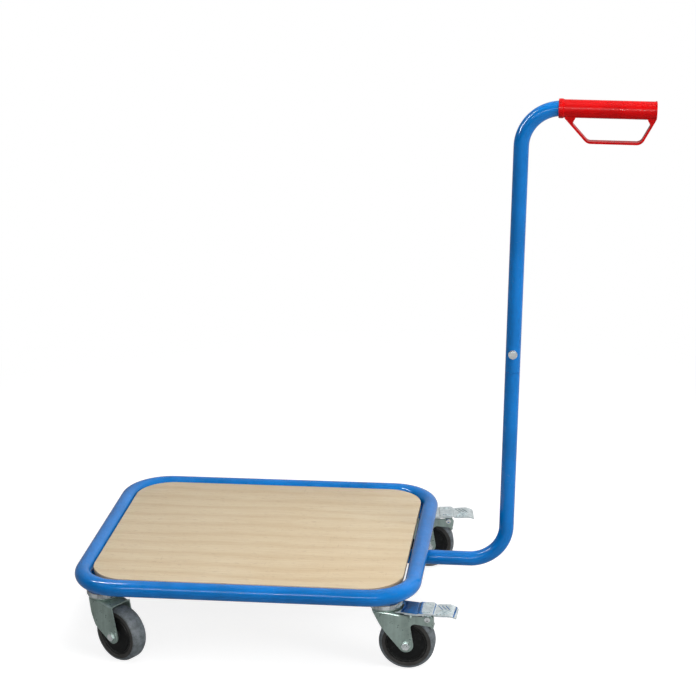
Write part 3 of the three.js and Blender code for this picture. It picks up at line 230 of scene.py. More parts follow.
class Solid:
    """A closed mesh under construction, in millimetres."""

    def __init__(self, points: Sequence[Sequence[float]], faces: Sequence[Sequence[int]]) -> None:
        """Keeps the mesh's points and faces.

        Args:
            points: The corners.
            faces: The faces as indices of the corners.
        """
        self.points = [Vector(p) for p in points]
        self.faces = [tuple(f) for f in faces]

    @classmethod
    def loft(cls, sections: Sequence[Sequence[Sequence[float]]], closed: bool = False) -> "Solid":
        """A body through sections that have the same number of points.

        Args:
            sections: The sections in order.
            closed: Whether the last section meets the first.

        Returns:
            The solid, with flat ends unless it is closed.
        """
        size = len(sections[0])
        count = len(sections)
        points = [p for section in sections for p in section]
        faces: list[tuple[int, ...]] = []
        for s in range(count if closed else count - 1):
            first, second = s * size, (s + 1) % count * size
            for i in range(size):
                j = (i + 1) % size
                faces.append((first + i, first + j, second + j, second + i))
        if not closed:
            faces.append(tuple(range(size - 1, -1, -1)))
            faces.append(tuple(range((count - 1) * size, count * size)))
        return cls(points, faces)

    @classmethod
    def lathe(cls, profile: Profile, sides: int, wave: Callable[[float, int], float] | None = None) -> "Solid":
        """A turned solid about the Z axis.

        Args:
            profile: Closed outline as (radius, z); points on the axis have radius 0.
            sides: How many facets round the axis.
            wave: Gives a change of radius from the angle and the index of the profile's point.

        Returns:
            The solid.
        """
        points: list[tuple[float, float, float]] = []
        rows: list[list[int]] = []
        for index, (radius, z) in enumerate(profile):
            row: list[int] = []
            for i in range(1 if radius == 0 else sides):
                turn = 2 * math.pi * i / sides
                reach = radius + (wave(turn, index) if wave and radius else 0)
                row.append(len(points))
                points.append((reach * math.cos(turn), reach * math.sin(turn), z))
            rows.append(row if radius else row * sides)
        faces: list[tuple[int, ...]] = []
        for low, high in zip(rows, rows[1:] + rows[:1]):
            for i in range(sides):
                j = (i + 1) % sides
                face = tuple(dict.fromkeys((low[i], low[j], high[j], high[i])))
                if len(face) > 2:
                    faces.append(face)
        return cls(points, faces)

    @classmethod
    def prism(cls, outline: Profile, low: float, high: float) -> "Solid":
        """An outline in X and Y, drawn out between two heights."""
        return cls.loft([[(x, y, z) for x, y in outline] for z in (low, high)])

    @classmethod
    def side_prism(cls, outline: Profile, low: float, high: float) -> "Solid":
        """An outline in X and Z, drawn out along Y."""
        return cls.loft([[(x, y, z) for x, z in outline] for y in (low, high)])

    @classmethod
    def bar(cls, radius: float, low: float, high: float, sides: int = 32) -> "Solid":
        """A round bar about the Z axis."""
        return cls.prism(circle(radius, sides), low, high)

    @classmethod
    def bar_y(cls, radius: float, low: float, high: float, x: float, z: float, sides: int = 32) -> "Solid":
        """A round bar along Y at a place in X and Z."""
        return cls.side_prism(circle(radius, sides, x, z), low, high)

    @classmethod
    def tube(cls, path: Sequence[Station], normal: Vector, radius: float, wall: float, sides: int,
             closed: bool = False) -> "Solid":
        """A tube along a flat centre line.

        Args:
            path: The stations of the centre line.
            normal: The direction square to the plane of the line.
            radius: The outer radius.
            wall: The wall's thickness, or 0 for a full bar.
            sides: How many facets round the line.
            closed: Whether the line is a ring.

        Returns:
            The tube.
        """
        rings = {size: [cls._ring(s, normal, size, sides) for s in path] for size in (radius, radius - wall)}
        if closed or wall == 0:
            return cls.loft(rings[radius], closed)
        sections = rings[radius] + rings[radius - wall][::-1]
        return cls.loft(sections, True)

    @classmethod
    def from_mesh(cls, mesh: bpy.types.Mesh) -> "Solid":
        """The solid with a mesh's points and faces."""
        return cls([v.co.copy() for v in mesh.vertices], [tuple(p.vertices) for p in mesh.polygons])

    @staticmethod
    def _ring(station: Station, normal: Vector, radius: float, sides: int) -> list[Vector]:
        """The ring of points of a tube at a station."""
        across = station.direction.cross(normal)
        return [station.point + normal * p + across * q for p, q in circle(radius, sides)]

    def placed(self, matrix: Matrix) -> "Solid":
        """A copy of the solid, moved by a matrix."""
        return Solid([matrix @ p for p in self.points], self.faces)

    def moved(self, x: float, y: float, z: float) -> "Solid":
        """A copy of the solid, moved by three distances."""
        return self.placed(Matrix.Translation((x, y, z)))

    def joined(self, how: Join, *others: "Solid") -> "Solid":
        """Puts the solid together with others.

        Args:
            how: The kind of operation.
            others: The other solids, taken in order.

        Returns:
            The result.
        """
        body = self.thing("body")
        tools = []
        for other in others:
            tool = other.thing("tool")
            tools.append(tool)
            step = body.modifiers.new("join", "BOOLEAN")
            step.operation = how.value
            step.solver = "MANIFOLD"
            step.object = tool
        mesh = evaluated_mesh(body)
        result = Solid.from_mesh(mesh)
        bpy.data.meshes.remove(mesh)
        for thing in (body, *tools):
            discard(thing)
        return result

    def plus(self, *others: "Solid") -> "Solid":
        """The solid with others added."""
        return self.joined(Join.UNION, *others)

    def minus(self, *others: "Solid") -> "Solid":
        """The solid with others cut away."""
        return self.joined(Join.CUT, *others)

    def common(self, other: "Solid") -> "Solid":
        """What the solid shares with another."""
        return self.joined(Join.COMMON, other)

    def beside(self, *others: "Solid") -> "Solid":
        """The solid and others kept side by side in one mesh.

        Args:
            others: The other solids.

        Returns:
            One solid with all their faces.
        """
        points, faces = list(self.points), list(self.faces)
        for other in others:
            start = len(points)
            points += other.points
            faces += [tuple(start + i for i in f) for f in other.faces]
        return Solid(points, faces)

    def thing(self, name: str, scale: float = 1.0) -> bpy.types.Object:
        """Makes a scene object of the solid, with its faces turned outwards.

        Args:
            name: The object's name.
            scale: What the points are multiplied by.

        Returns:
            The object, linked to the scene.
        """
        mesh = bpy.data.meshes.new(name)
        mesh.from_pydata([p * scale for p in self.points], [], self.faces)
        shape = bmesh.new()
        shape.from_mesh(mesh)
        bmesh.ops.remove_doubles(shape, verts=shape.verts, dist=WELD_DISTANCE * scale)
        bmesh.ops.recalc_face_normals(shape, faces=shape.faces)
        shape.to_mesh(mesh)
        shape.free()
        result = bpy.data.objects.new(name, mesh)
        bpy.context.scene.collection.objects.link(result)
        return result


def evaluated_mesh(thing: bpy.types.Object) -> bpy.types.Mesh:
    """The mesh of an object with its modifiers worked out.

    Args:
        thing: The object.

    Returns:
        A new mesh.
    """
    graph = bpy.context.evaluated_depsgraph_get()
    graph.update()
    return bpy.data.meshes.new_from_object(thing.evaluated_get(graph))


def apply_modifiers(thing: bpy.types.Object) -> None:
    """Puts the worked-out mesh of an object in the place of its own.

    Args:
        thing: The object.
    """
    before = thing.data
    thing.data = evaluated_mesh(thing)
    thing.modifiers.clear()
    bpy.data.meshes.remove(before)


def discard(thing: bpy.types.Object) -> None:
    """Removes an object and its mesh.

    Args:
        thing: The object.
    """
    mesh = thing.data
    bpy.data.objects.remove(thing)
    bpy.data.meshes.remove(mesh)


def merged_coplanar(solid: Solid, shortest: float = 0.0) -> Solid:
    """Joins the flat facets that a boolean operation leaves.

    Args:
        solid: The solid.
        shortest: The length under which an edge is closed up, so that it doesn't hold back the rounding.

    Returns:
        The same form with fewer faces.
    """
    thing = solid.thing("flat")
    shape = bmesh.new()
    shape.from_mesh(thing.data)
    bmesh.ops.dissolve_limit(shape, angle_limit=math.radians(0.4), verts=shape.verts, edges=shape.edges)
    if shortest:
        bmesh.ops.remove_doubles(shape, verts=shape.verts, dist=shortest)
        bmesh.ops.dissolve_degenerate(shape, edges=shape.edges, dist=shortest / 15)
    shape.to_mesh(thing.data)
    shape.free()
    result = Solid.from_mesh(thing.data)
    discard(thing)
    return result


@dataclass(frozen=True)
class Edging:
    """How the edges of a piece are rounded and shaded."""

    width: float = 0.5
    segments: int = 2
    angle: float = 32.0
    smooth: float = 32.0


@dataclass(frozen=True)
class Home:
    """Where a piece belongs: its body, its place and the CAD nodes that it stands for."""

    body: str
    matrix: Matrix
    nodes: tuple[str, ...] = ()


def make_piece(name: str, solid: Solid, home: Home, finish: "Finish", edging: Edging | None = None,
               edge_finish: "Finish | None" = None) -> bpy.types.Object:
    """Makes a finished piece of the object.

    Args:
        name: The piece's name.
        solid: Its shape.
        home: Its body, place and nodes.
        finish: Its finish.
        edging: How its edges are rounded, or None to leave them.
        edge_finish: The finish of the rounded edges, where it differs, such as the painted edge highlight.

    Returns:
        The finished object.
    """
    thing = solid.thing(name, MM)
    mesh = thing.data
    mesh.materials.append(finish.material())
    if edge_finish:
        mesh.materials.append(edge_finish.material())
    if edging:
        bevel = thing.modifiers.new("edges", "BEVEL")
        bevel.width = edging.width * MM
        bevel.segments = edging.segments
        bevel.limit_method = "ANGLE"
        bevel.angle_limit = math.radians(edging.angle)
        bevel.use_clamp_overlap = True
        bevel.material = 1 if edge_finish else -1
        apply_modifiers(thing)
        mesh = thing.data
    mesh.polygons.foreach_set("use_smooth", [True] * len(mesh.polygons))
    mesh.set_sharp_from_angle(angle=math.radians((edging or Edging()).smooth))
    if edging:
        weighted = thing.modifiers.new("normals", "WEIGHTED_NORMAL")
        weighted.keep_sharp = True
        weighted.weight = 50
        apply_modifiers(thing)
        thing.data.name = name
    thing.matrix_world = home.matrix
    bpy.context.view_layer.update()
    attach(thing, home.body)
    if home.nodes:
        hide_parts(*home.nodes)
    LOG.info("made %s: %d faces", name, len(thing.data.polygons))
    return thing


# Shader groups.


class Canvas:
    """Adds and links the nodes of one node tree."""

    def __init__(self, tree: bpy.types.NodeTree) -> None:
        """Keeps the tree and clears it.

        Args:
            tree: The node tree.
        """
        self.tree = tree
        tree.nodes.clear()

    def node(self, kind: str, **values: object) -> bpy.types.Node:
        """Adds a node.

        Args:
            kind: The node's type, without the common first part.
            values: Settings of the node by name.

        Returns:
            The node.
        """
        made = self.tree.nodes.new(f"ShaderNode{kind}")
        for key, value in values.items():
            setattr(made, key, value)
        return made

    def feed(self, target: bpy.types.NodeSocket, source: object) -> None:
        """Links a socket to another or sets its value.

        Args:
            target: The input.
            source: A socket or a plain value.
        """
        if isinstance(source, bpy.types.NodeSocket):
            self.tree.links.new(source, target)
        elif target.type == "RGBA" and isinstance(source, tuple) and len(source) == 3:
            target.default_value = (*source, 1.0)
        else:
            target.default_value = source

    def math(self, operation: str, first: object, second: object = 0.0, clamp: bool = False) -> bpy.types.NodeSocket:
        """A number worked out from two others.

        Args:
            operation: The operation's name.
            first: A socket or number.
            second: A socket or number.
            clamp: Whether the result stays between 0 and 1.

        Returns:
            The result's socket.
        """
        made = self.node("Math", operation=operation, use_clamp=clamp)
        self.feed(made.inputs[0], first)
        self.feed(made.inputs[1], second)
        return made.outputs[0]

    def mix(self, share: object, first: object, second: object) -> bpy.types.NodeSocket:
        """A blend of two colours.

        Args:
            share: The share of the second colour.
            first: A socket or colour.
            second: A socket or colour.

        Returns:
            The result's socket.
        """
        made = self.node("Mix", data_type="RGBA")
        self.feed(made.inputs[0], share)
        self.feed(made.inputs[6], first)
        self.feed(made.inputs[7], second)
        return made.outputs[2]

    def remap(self, value: object, low: object, high: object, to_low: object = 0.0,
              to_high: object = 1.0) -> bpy.types.NodeSocket:
        """A number moved smoothly from one range to another.

        Args:
            value: The number.
            low: Start of its range.
            high: End of its range.
            to_low: Start of the new range.
            to_high: End of the new range.

        Returns:
            The result's socket.
        """
        made = self.node("MapRange", interpolation_type="SMOOTHSTEP")
        for socket, source in zip(made.inputs[:5], (value, low, high, to_low, to_high)):
            self.feed(socket, source)
        return made.outputs[0]

    def noise(self, vector: object, scale: object, detail: float = 3.0,
              roughness: float = 0.5) -> bpy.types.NodeSocket:
        """A cloudy number over the surface.

        Args:
            vector: The place.
            scale: Clouds per metre.
            detail: Finer layers.
            roughness: The share of the finer layers.

        Returns:
            The noise's socket.
        """
        made = self.node("TexNoise")
        self.feed(made.inputs["Vector"], vector)
        self.feed(made.inputs["Scale"], scale)
        self.feed(made.inputs["Detail"], detail)
        self.feed(made.inputs["Roughness"], roughness)
        return made.outputs[0]

    def stretched(self, vector: object, factors: tuple[float, float, float]) -> bpy.types.NodeSocket:
        """A place with each axis multiplied.

        Args:
            vector: The place.
            factors: What each axis is multiplied by.

        Returns:
            The new place's socket.
        """
        made = self.node("VectorMath", operation="MULTIPLY")
        self.feed(made.inputs[0], vector)
        made.inputs[1].default_value = factors
        return made.outputs[0]


class Effect(Enum):
    """The shader groups that several finishes share."""

    CLOUDS = "Clouds"
    PEEL = "Orange peel"
    SCUFFS = "Scuffs"
    GRAIN = "Wood grain"
    PLIES = "Plies"
    DUST = "Dust"
    RADIUS = "Radius mask"
    STREAKS_DRAWN_AND_REFLECTED = "Drawing marks"


SOCKETS: dict[Effect, tuple[tuple[tuple[str, str], ...], tuple[tuple[str, str], ...]]] = {
    Effect.CLOUDS: ((("Place", "Vector"), ("Scale", "Float"), ("Low", "Float"), ("High", "Float")),
                    (("Value", "Float"),)),
    Effect.PEEL: ((("Place", "Vector"), ("Scale", "Float"), ("Dust Share", "Float")), (("Height", "Float"),)),
    Effect.SCUFFS: ((("Place", "Vector"), ("Scale", "Float"), ("Amount", "Float")), (("Mask", "Float"),)),
    Effect.GRAIN: ((("Place", "Vector"), ("Light", "Color"), ("Dark", "Color"), ("Pore", "Color")),
                   (("Color", "Color"), ("Height", "Float"))),
    Effect.PLIES: ((("Place", "Vector"), ("Bottom", "Float"), ("Pitch", "Float"), ("Light", "Color"),
                    ("Dark", "Color"), ("Glue", "Color")), (("Color", "Color"), ("Height", "Float"))),
    Effect.DUST: ((("Place", "Vector"), ("Normal", "Vector"), ("Amount", "Float")), (("Mask", "Float"),)),
    Effect.RADIUS: ((("Place", "Vector"), ("Start", "Float"), ("End", "Float")), (("Mask", "Float"),)),
    Effect.STREAKS_DRAWN_AND_REFLECTED: ((("Place", "Vector"), ("Scale", "Float")), (("Mask", "Float"),)),
}


class EffectLibrary:
    """Builds each shared shader group once."""

    def __init__(self) -> None:
        """Starts with no groups built."""
        self.built: dict[Effect, bpy.types.NodeTree] = {}

    def group(self, effect: Effect) -> bpy.types.NodeTree:
        """The node group of an effect.

        Args:
            effect: Which effect.

        Returns:
            Its node tree.
        """
        if effect not in self.built:
            self.built[effect] = self._build(effect)
        return self.built[effect]

    def _build(self, effect: Effect) -> bpy.types.NodeTree:
        """Makes the group of an effect with its named sockets.

        Args:
            effect: The effect.

        Returns:
            Its node tree.
        """
        tree = bpy.data.node_groups.new(effect.value, "ShaderNodeTree")
        canvas = Canvas(tree)
        takes, gives = SOCKETS[effect]
        for name, kind in takes:
            tree.interface.new_socket(name=name, in_out="INPUT", socket_type=f"NodeSocket{kind}")
        for name, kind in gives:
            tree.interface.new_socket(name=name, in_out="OUTPUT", socket_type=f"NodeSocket{kind}")
        source = tree.nodes.new("NodeGroupInput").outputs
        target = tree.nodes.new("NodeGroupOutput").inputs
        makers = {
            Effect.CLOUDS: self._clouds, Effect.PEEL: self._peel, Effect.SCUFFS: self._scuffs,
            Effect.GRAIN: self._grain, Effect.PLIES: self._plies, Effect.DUST: self._dust,
            Effect.RADIUS: self._radius, Effect.STREAKS_DRAWN_AND_REFLECTED: self._drawn_and_reflected_streaks,
        }
        for name, value in makers[effect](canvas, source).items():
            canvas.feed(target[name], value)
        return tree

    @staticmethod
    def _clouds(canvas: Canvas, given: bpy.types.bpy_prop_collection) -> dict[str, object]:
        """Soft clouds between two values."""
        noise = canvas.noise(given["Place"], given["Scale"], 4.0, 0.6)
        return {"Value": canvas.remap(noise, 0.3, 0.7, given["Low"], given["High"])}

    @staticmethod
    def _peel(canvas: Canvas, given: bpy.types.bpy_prop_collection) -> dict[str, object]:
        """The fine waves of a sprayed skin with a few specks of dust in it.

        Args:
            canvas: The group's nodes.
            given: The group's inputs.

        Returns:
            The outputs by name.
        """
        waves = canvas.noise(given["Place"], given["Scale"], 1.0, 0.4)
        specks = canvas.noise(given["Place"], canvas.math("MULTIPLY", given["Scale"], 3.1), 0.0)
        raised = canvas.math("MULTIPLY", canvas.remap(specks, 0.74, 0.82), given["Dust Share"])
        return {"Height": canvas.math("ADD", waves, raised)}

    @staticmethod
    def _scuffs(canvas: Canvas, given: bpy.types.bpy_prop_collection) -> dict[str, object]:
        """Short thin scratches in several directions, in patches.

        Args:
            canvas: The group's nodes.
            given: The group's inputs.

        Returns:
            The outputs by name.
        """
        total: object = 0.0
        for factors in ((1.0, 14.0, 3.0), (13.0, 1.2, 4.0), (3.0, 5.0, 15.0)):
            lines = canvas.noise(canvas.stretched(given["Place"], factors), given["Scale"], 1.0, 0.4)
            total = canvas.math("ADD", total, canvas.remap(lines, 0.69, 0.76))
        patches = canvas.noise(given["Place"], canvas.math("MULTIPLY", given["Scale"], 0.22), 2.0)
        worn = canvas.math("MULTIPLY", total, canvas.remap(patches, 0.42, 0.62))
        return {"Mask": canvas.math("MULTIPLY", worn, given["Amount"], True)}

    @staticmethod
    def _grain(canvas: Canvas, given: bpy.types.bpy_prop_collection) -> dict[str, object]:
        """Peeled birch: broad flames along the sheet, fine fibres and short pores.

        Args:
            canvas: The group's nodes.
            given: The group's inputs.

        Returns:
            The outputs by name.
        """
        bend = canvas.noise(canvas.stretched(given["Place"], (1.4, 5.0, 1.0)), 2.6, 2.0)
        rings = canvas.node("TexWave", wave_type="BANDS", bands_direction="Y")
        canvas.feed(rings.inputs["Vector"], canvas.stretched(given["Place"], (0.35, 1.0, 1.0)))
        canvas.feed(rings.inputs["Scale"], 7.0)
        canvas.feed(rings.inputs["Distortion"], canvas.math("MULTIPLY", bend, 7.0))
        canvas.feed(rings.inputs["Detail"], 2.0)
        canvas.feed(rings.inputs["Detail Scale"], 1.4)
        fibres = canvas.noise(canvas.stretched(given["Place"], (14.0, 420.0, 420.0)), 1.0, 3.0, 0.6)
        pores = canvas.noise(canvas.stretched(given["Place"], (60.0, 900.0, 900.0)), 1.0, 1.0, 0.5)
        pore_mask = canvas.remap(pores, 0.66, 0.74)
        shade = canvas.math("ADD", canvas.math("MULTIPLY", canvas.math("POWER", rings.outputs["Fac"], 2.4), 0.36),
                            canvas.math("MULTIPLY", canvas.remap(fibres, 0.35, 0.75), 0.45), True)
        flames = canvas.mix(shade, given["Light"], given["Dark"])
        colour = canvas.mix(canvas.math("MULTIPLY", pore_mask, 0.55), flames, given["Pore"])
        height = canvas.math("SUBTRACT", canvas.math("MULTIPLY", fibres, 0.6), pore_mask)
        return {"Color": colour, "Height": height}

    @staticmethod
    def _plies(canvas: Canvas, given: bpy.types.bpy_prop_collection) -> dict[str, object]:
        """The sawn edge of plywood: crossed veneers with a dark line of glue between.

        Args:
            canvas: The group's nodes.
            given: The group's inputs.

        Returns:
            The outputs by name.
        """
        parts = canvas.node("SeparateXYZ")
        canvas.feed(parts.inputs[0], given["Place"])
        wobble = canvas.math("MULTIPLY", canvas.noise(given["Place"], 60.0, 2.0), 0.00035)
        level = canvas.math("ADD", canvas.math("SUBTRACT", parts.outputs["Z"], given["Bottom"]), wobble)
        layer = canvas.math("DIVIDE", level, given["Pitch"])
        whole = canvas.math("FLOOR", layer)
        share = canvas.math("SUBTRACT", layer, whole)
        odd = canvas.math("ABSOLUTE", canvas.math("MODULO", whole, 2.0))
        fibre = canvas.noise(canvas.stretched(given["Place"], (500.0, 500.0, 900.0)), 1.0, 2.0)
        long_fibre = canvas.noise(canvas.stretched(given["Place"], (60.0, 60.0, 2400.0)), 1.0, 2.0)
        blend = canvas.mix(odd, canvas.mix(fibre, given["Dark"], given["Light"]),
                           canvas.mix(long_fibre, given["Light"], given["Dark"]))
        edge = canvas.math("ABSOLUTE", canvas.math("SUBTRACT", share, 0.5))
        glue = canvas.remap(edge, 0.42, 0.47)
        return {"Color": canvas.mix(glue, blend, given["Glue"]), "Height": canvas.math("SUBTRACT", fibre, glue)}

    @staticmethod
    def _dust(canvas: Canvas, given: bpy.types.bpy_prop_collection) -> dict[str, object]:
        """Thin dust on faces that look up.

        Args:
            canvas: The group's nodes.
            given: The group's inputs.

        Returns:
            The outputs by name.
        """
        parts = canvas.node("SeparateXYZ")
        canvas.feed(parts.inputs[0], given["Normal"])
        facing = canvas.remap(parts.outputs["Z"], 0.35, 0.95)
        clumps = canvas.remap(canvas.noise(given["Place"], 90.0, 5.0, 0.7), 0.35, 0.75)
        return {"Mask": canvas.math("MULTIPLY", canvas.math("MULTIPLY", facing, clumps), given["Amount"], True)}

    @staticmethod
    def _drawn_and_reflected_streaks(canvas: Canvas, given: bpy.types.bpy_prop_collection) -> dict[str, object]:
        """Soft upright streaks: marks that a press tool leaves on drawn sheet, and painted reflection streaks where
        the two colours lie far apart.
        """
        streaks = canvas.noise(canvas.stretched(given["Place"], (1.0, 1.0, 0.07)), given["Scale"], 2.0, 0.5)
        return {"Mask": canvas.remap(streaks, 0.36, 0.66)}

    @staticmethod
    def _radius(canvas: Canvas, given: bpy.types.bpy_prop_collection) -> dict[str, object]:
        """How far a place lies from the Z axis, between two radii.

        Args:
            canvas: The group's nodes.
            given: The group's inputs.

        Returns:
            The outputs by name.
        """
        flat = canvas.node("VectorMath", operation="MULTIPLY")
        canvas.feed(flat.inputs[0], given["Place"])
        flat.inputs[1].default_value = (1.0, 1.0, 0.0)
        length = canvas.node("VectorMath", operation="LENGTH")
        canvas.feed(length.inputs[0], flat.outputs[0])
        return {"Mask": canvas.remap(length.outputs["Value"], given["Start"], given["End"])}


EFFECTS = EffectLibrary()


# Finishes.


class Painter:
    """Builds one material round its Principled shader."""

    def __init__(self, name: str) -> None:
        """Makes an empty material.

        Args:
            name: The material's name.
        """
        self.material = bpy.data.materials.new(name)
        self.material.use_nodes = True
        self.canvas = Canvas(self.material.node_tree)
        self.shader = self.canvas.node("BsdfPrincipled")
        output = self.canvas.node("OutputMaterial")
        self.canvas.feed(output.inputs["Surface"], self.shader.outputs[0])
        self.place = self.canvas.node("TexCoord").outputs["Object"]
        self.normal = self.canvas.node("NewGeometry").outputs["Normal"]

    def set(self, **values: object) -> None:
        """Sets or links inputs of the shader.

        Args:
            values: Sources by input name, with a single underscore for a space.
        """
        for key, value in values.items():
            self.canvas.feed(self.shader.inputs[key.replace("_", " ")], value)

    def effect(self, effect: Effect, **values: object) -> bpy.types.bpy_prop_collection:
        """Places a shared group with its own values.

        Args:
            effect: Which group.
            values: Sources by input name, with a single underscore for a space.

        Returns:
            The group's outputs.
        """
        made = self.canvas.node("Group", node_tree=EFFECTS.group(effect))
        names = {socket.name for socket in made.inputs}
        if "Place" in names:
            self.canvas.feed(made.inputs["Place"], self.place)
        if "Normal" in names:
            self.canvas.feed(made.inputs["Normal"], self.normal)
        for key, value in values.items():
            self.canvas.feed(made.inputs[key.replace("_", " ")], value)
        return made.outputs

    def bump(self, height: object, distance: float, strength: float = 1.0) -> None:
        """Raises the surface by a height.

        Args:
            height: The height's socket.
            distance: What a height of 1 stands for, in metres.
            strength: The share that is used.
        """
        made = self.canvas.node("Bump")
        made.inputs["Strength"].default_value = strength
        made.inputs["Distance"].default_value = distance
        self.canvas.feed(made.inputs["Height"], height)
        self.canvas.feed(self.shader.inputs["Normal"], made.outputs[0])


@dataclass(frozen=True)
class Finish:
    """A finish of the object, with the record's slot that it belongs to."""

    name: str
    slot: str

    def material(self) -> bpy.types.Material:
        """The finish's material, built when first asked for.

        Returns:
            The material.
        """
        known = bpy.data.materials.get(self.name)
        if known:
            return known
        painter = Painter(self.name)
        self.paint(painter)
        return painter.material

    def paint(self, painter: Painter) -> None:
        """Builds the finish's nodes.

        Args:
            painter: The material under construction.
        """
        raise NotImplementedError


@dataclass(frozen=True)
class PowderCoat(Finish):
    """Gloss powder coat on steel."""

    colour: Colour
    roughness: float = 0.13

    def paint(self, painter: Painter) -> None:
        """Builds the coat with its orange peel, tone changes, thin dust and hairline scuffs.

        Args:
            painter: The new material.
        """
        canvas = painter.canvas
        tone = painter.effect(Effect.CLOUDS, Scale=9.0, Low=0.0, High=1.0)["Value"]
        deep = tuple(c * 0.86 for c in self.colour)
        pale = tuple(min(c * 1.12 + 0.002, 1.0) for c in self.colour)
        scuffs = painter.effect(Effect.SCUFFS, Scale=55.0, Amount=0.12)["Mask"]
        dust = painter.effect(Effect.DUST, Amount=0.02)["Mask"]
        marked = canvas.mix(scuffs, canvas.mix(tone, deep, pale), srgb(120, 165, 205))
        painter.set(Base_Color=canvas.mix(dust, marked, srgb(196, 198, 200)))
        rough = painter.effect(Effect.CLOUDS, Scale=34.0, Low=self.roughness * 0.85, High=self.roughness * 1.25)
        painter.set(Roughness=canvas.math("ADD", rough["Value"], canvas.math("MULTIPLY", scuffs, 0.5), True))
        painter.set(Specular_IOR_Level=0.2, IOR=1.38, Coat_Weight=0.35, Coat_Roughness=0.035)
        painter.bump(painter.effect(Effect.PEEL, Scale=330.0, Dust_Share=0.2)["Height"], 0.000012, 0.5)


@dataclass(frozen=True)
class BirchFace(Finish):
    """The varnished face veneer of birch plywood."""

    light: Colour
    dark: Colour
    pore: Colour

    def paint(self, painter: Painter) -> None:
        """Builds the veneer with its flames, pores, rubbed places and varnish.

        Args:
            painter: The new material.
        """
        canvas = painter.canvas
        grain = painter.effect(Effect.GRAIN, Light=self.light, Dark=self.dark, Pore=self.pore)
        tone = painter.effect(Effect.CLOUDS, Scale=3.2, Low=0.0, High=0.22)["Value"]
        scuffs = painter.effect(Effect.SCUFFS, Scale=26.0, Amount=0.22)["Mask"]
        warm = canvas.mix(tone, grain["Color"], srgb(205, 170, 120))
        painter.set(Base_Color=canvas.mix(scuffs, warm, srgb(188, 158, 118)))
        rough = painter.effect(Effect.CLOUDS, Scale=16.0, Low=0.42, High=0.58)["Value"]
        painter.set(Roughness=canvas.math("ADD", rough, canvas.math("MULTIPLY", scuffs, 0.2), True))
        painter.bump(grain["Height"], 0.00009, 0.5)


@dataclass(frozen=True)
class BirchEdge(Finish):
    """The sawn and broken edge of birch plywood."""

    light: Colour
    dark: Colour
    glue: Colour
    bottom: float
    pitch: float

    def paint(self, painter: Painter) -> None:
        """Builds the layered edge.

        Args:
            painter: The new material.
        """
        plies = painter.effect(Effect.PLIES, Bottom=self.bottom, Pitch=self.pitch, Light=self.light,
                               Dark=self.dark, Glue=self.glue)
        rough = painter.effect(Effect.CLOUDS, Scale=80.0, Low=0.6, High=0.8)["Value"]
        painter.set(Base_Color=plies["Color"], Roughness=rough)
        painter.bump(plies["Height"], 0.00012, 0.6)


@dataclass(frozen=True)
class ZincPlate(Finish):
    """Zinc-plated pressed steel."""

    light: Colour
    dark: Colour
    roughness: float = 0.32
    metal: float = 1.0
    worn: float = 0.12

    def paint(self, painter: Painter) -> None:
        """Builds the plating with its clouds, drawing marks down the sheet and fine hairlines. On the swivel head the
        clouds and streaks are painted shade and painted reflections.

        Args:
            painter: The new material.
        """
        canvas = painter.canvas
        clouds = painter.effect(Effect.CLOUDS, Scale=62.0, Low=0.0, High=0.5)["Value"]
        # Upright streaks: drawing marks, and on the swivel head painted reflection streaks.
        drawn = painter.effect(Effect.STREAKS_DRAWN_AND_REFLECTED, Scale=95.0)["Mask"]
        tone = canvas.math("ADD", clouds, canvas.math("MULTIPLY", drawn, 0.6), True)
        scuffs = painter.effect(Effect.SCUFFS, Scale=120.0, Amount=self.worn)["Mask"]
        plated = canvas.mix(tone, self.dark, self.light)
        painter.set(Base_Color=canvas.mix(scuffs, plated, srgb(214, 222, 224)), Metallic=self.metal)
        rough = painter.effect(Effect.CLOUDS, Scale=150.0, Low=self.roughness * 0.75, High=self.roughness * 1.35)
        painter.set(Roughness=canvas.math("SUBTRACT", rough["Value"], canvas.math("MULTIPLY", scuffs, 0.08), True))
        painter.bump(painter.effect(Effect.PEEL, Scale=700.0, Dust_Share=0.0)["Height"], 0.00001, 0.4)


@dataclass(frozen=True)
class GlossPlastic(Finish):
    """Glossy moulded plastic."""

    colour: Colour
    roughness: float = 0.24

    def paint(self, painter: Painter) -> None:
        """Builds the moulding with its faint flow marks and handling scuffs.

        Args:
            painter: The new material.
        """
        canvas = painter.canvas
        tone = painter.effect(Effect.CLOUDS, Scale=24.0, Low=0.0, High=1.0)["Value"]
        scuffs = painter.effect(Effect.SCUFFS, Scale=90.0, Amount=0.07)["Mask"]
        deep = tuple(c * 0.82 for c in self.colour)
        body = canvas.mix(tone, deep, self.colour)
        painter.set(Base_Color=canvas.mix(scuffs, body, srgb(238, 96, 90)))
        rough = painter.effect(Effect.CLOUDS, Scale=70.0, Low=self.roughness * 0.8, High=self.roughness * 1.3)
        painter.set(Roughness=canvas.math("ADD", rough["Value"], canvas.math("MULTIPLY", scuffs, 0.3), True))
        painter.set(Specular_IOR_Level=0.12, IOR=1.35, Coat_Weight=0.1, Coat_Roughness=0.08)
        painter.bump(painter.effect(Effect.PEEL, Scale=180.0, Dust_Share=0.05)["Height"], 0.00002, 0.4)


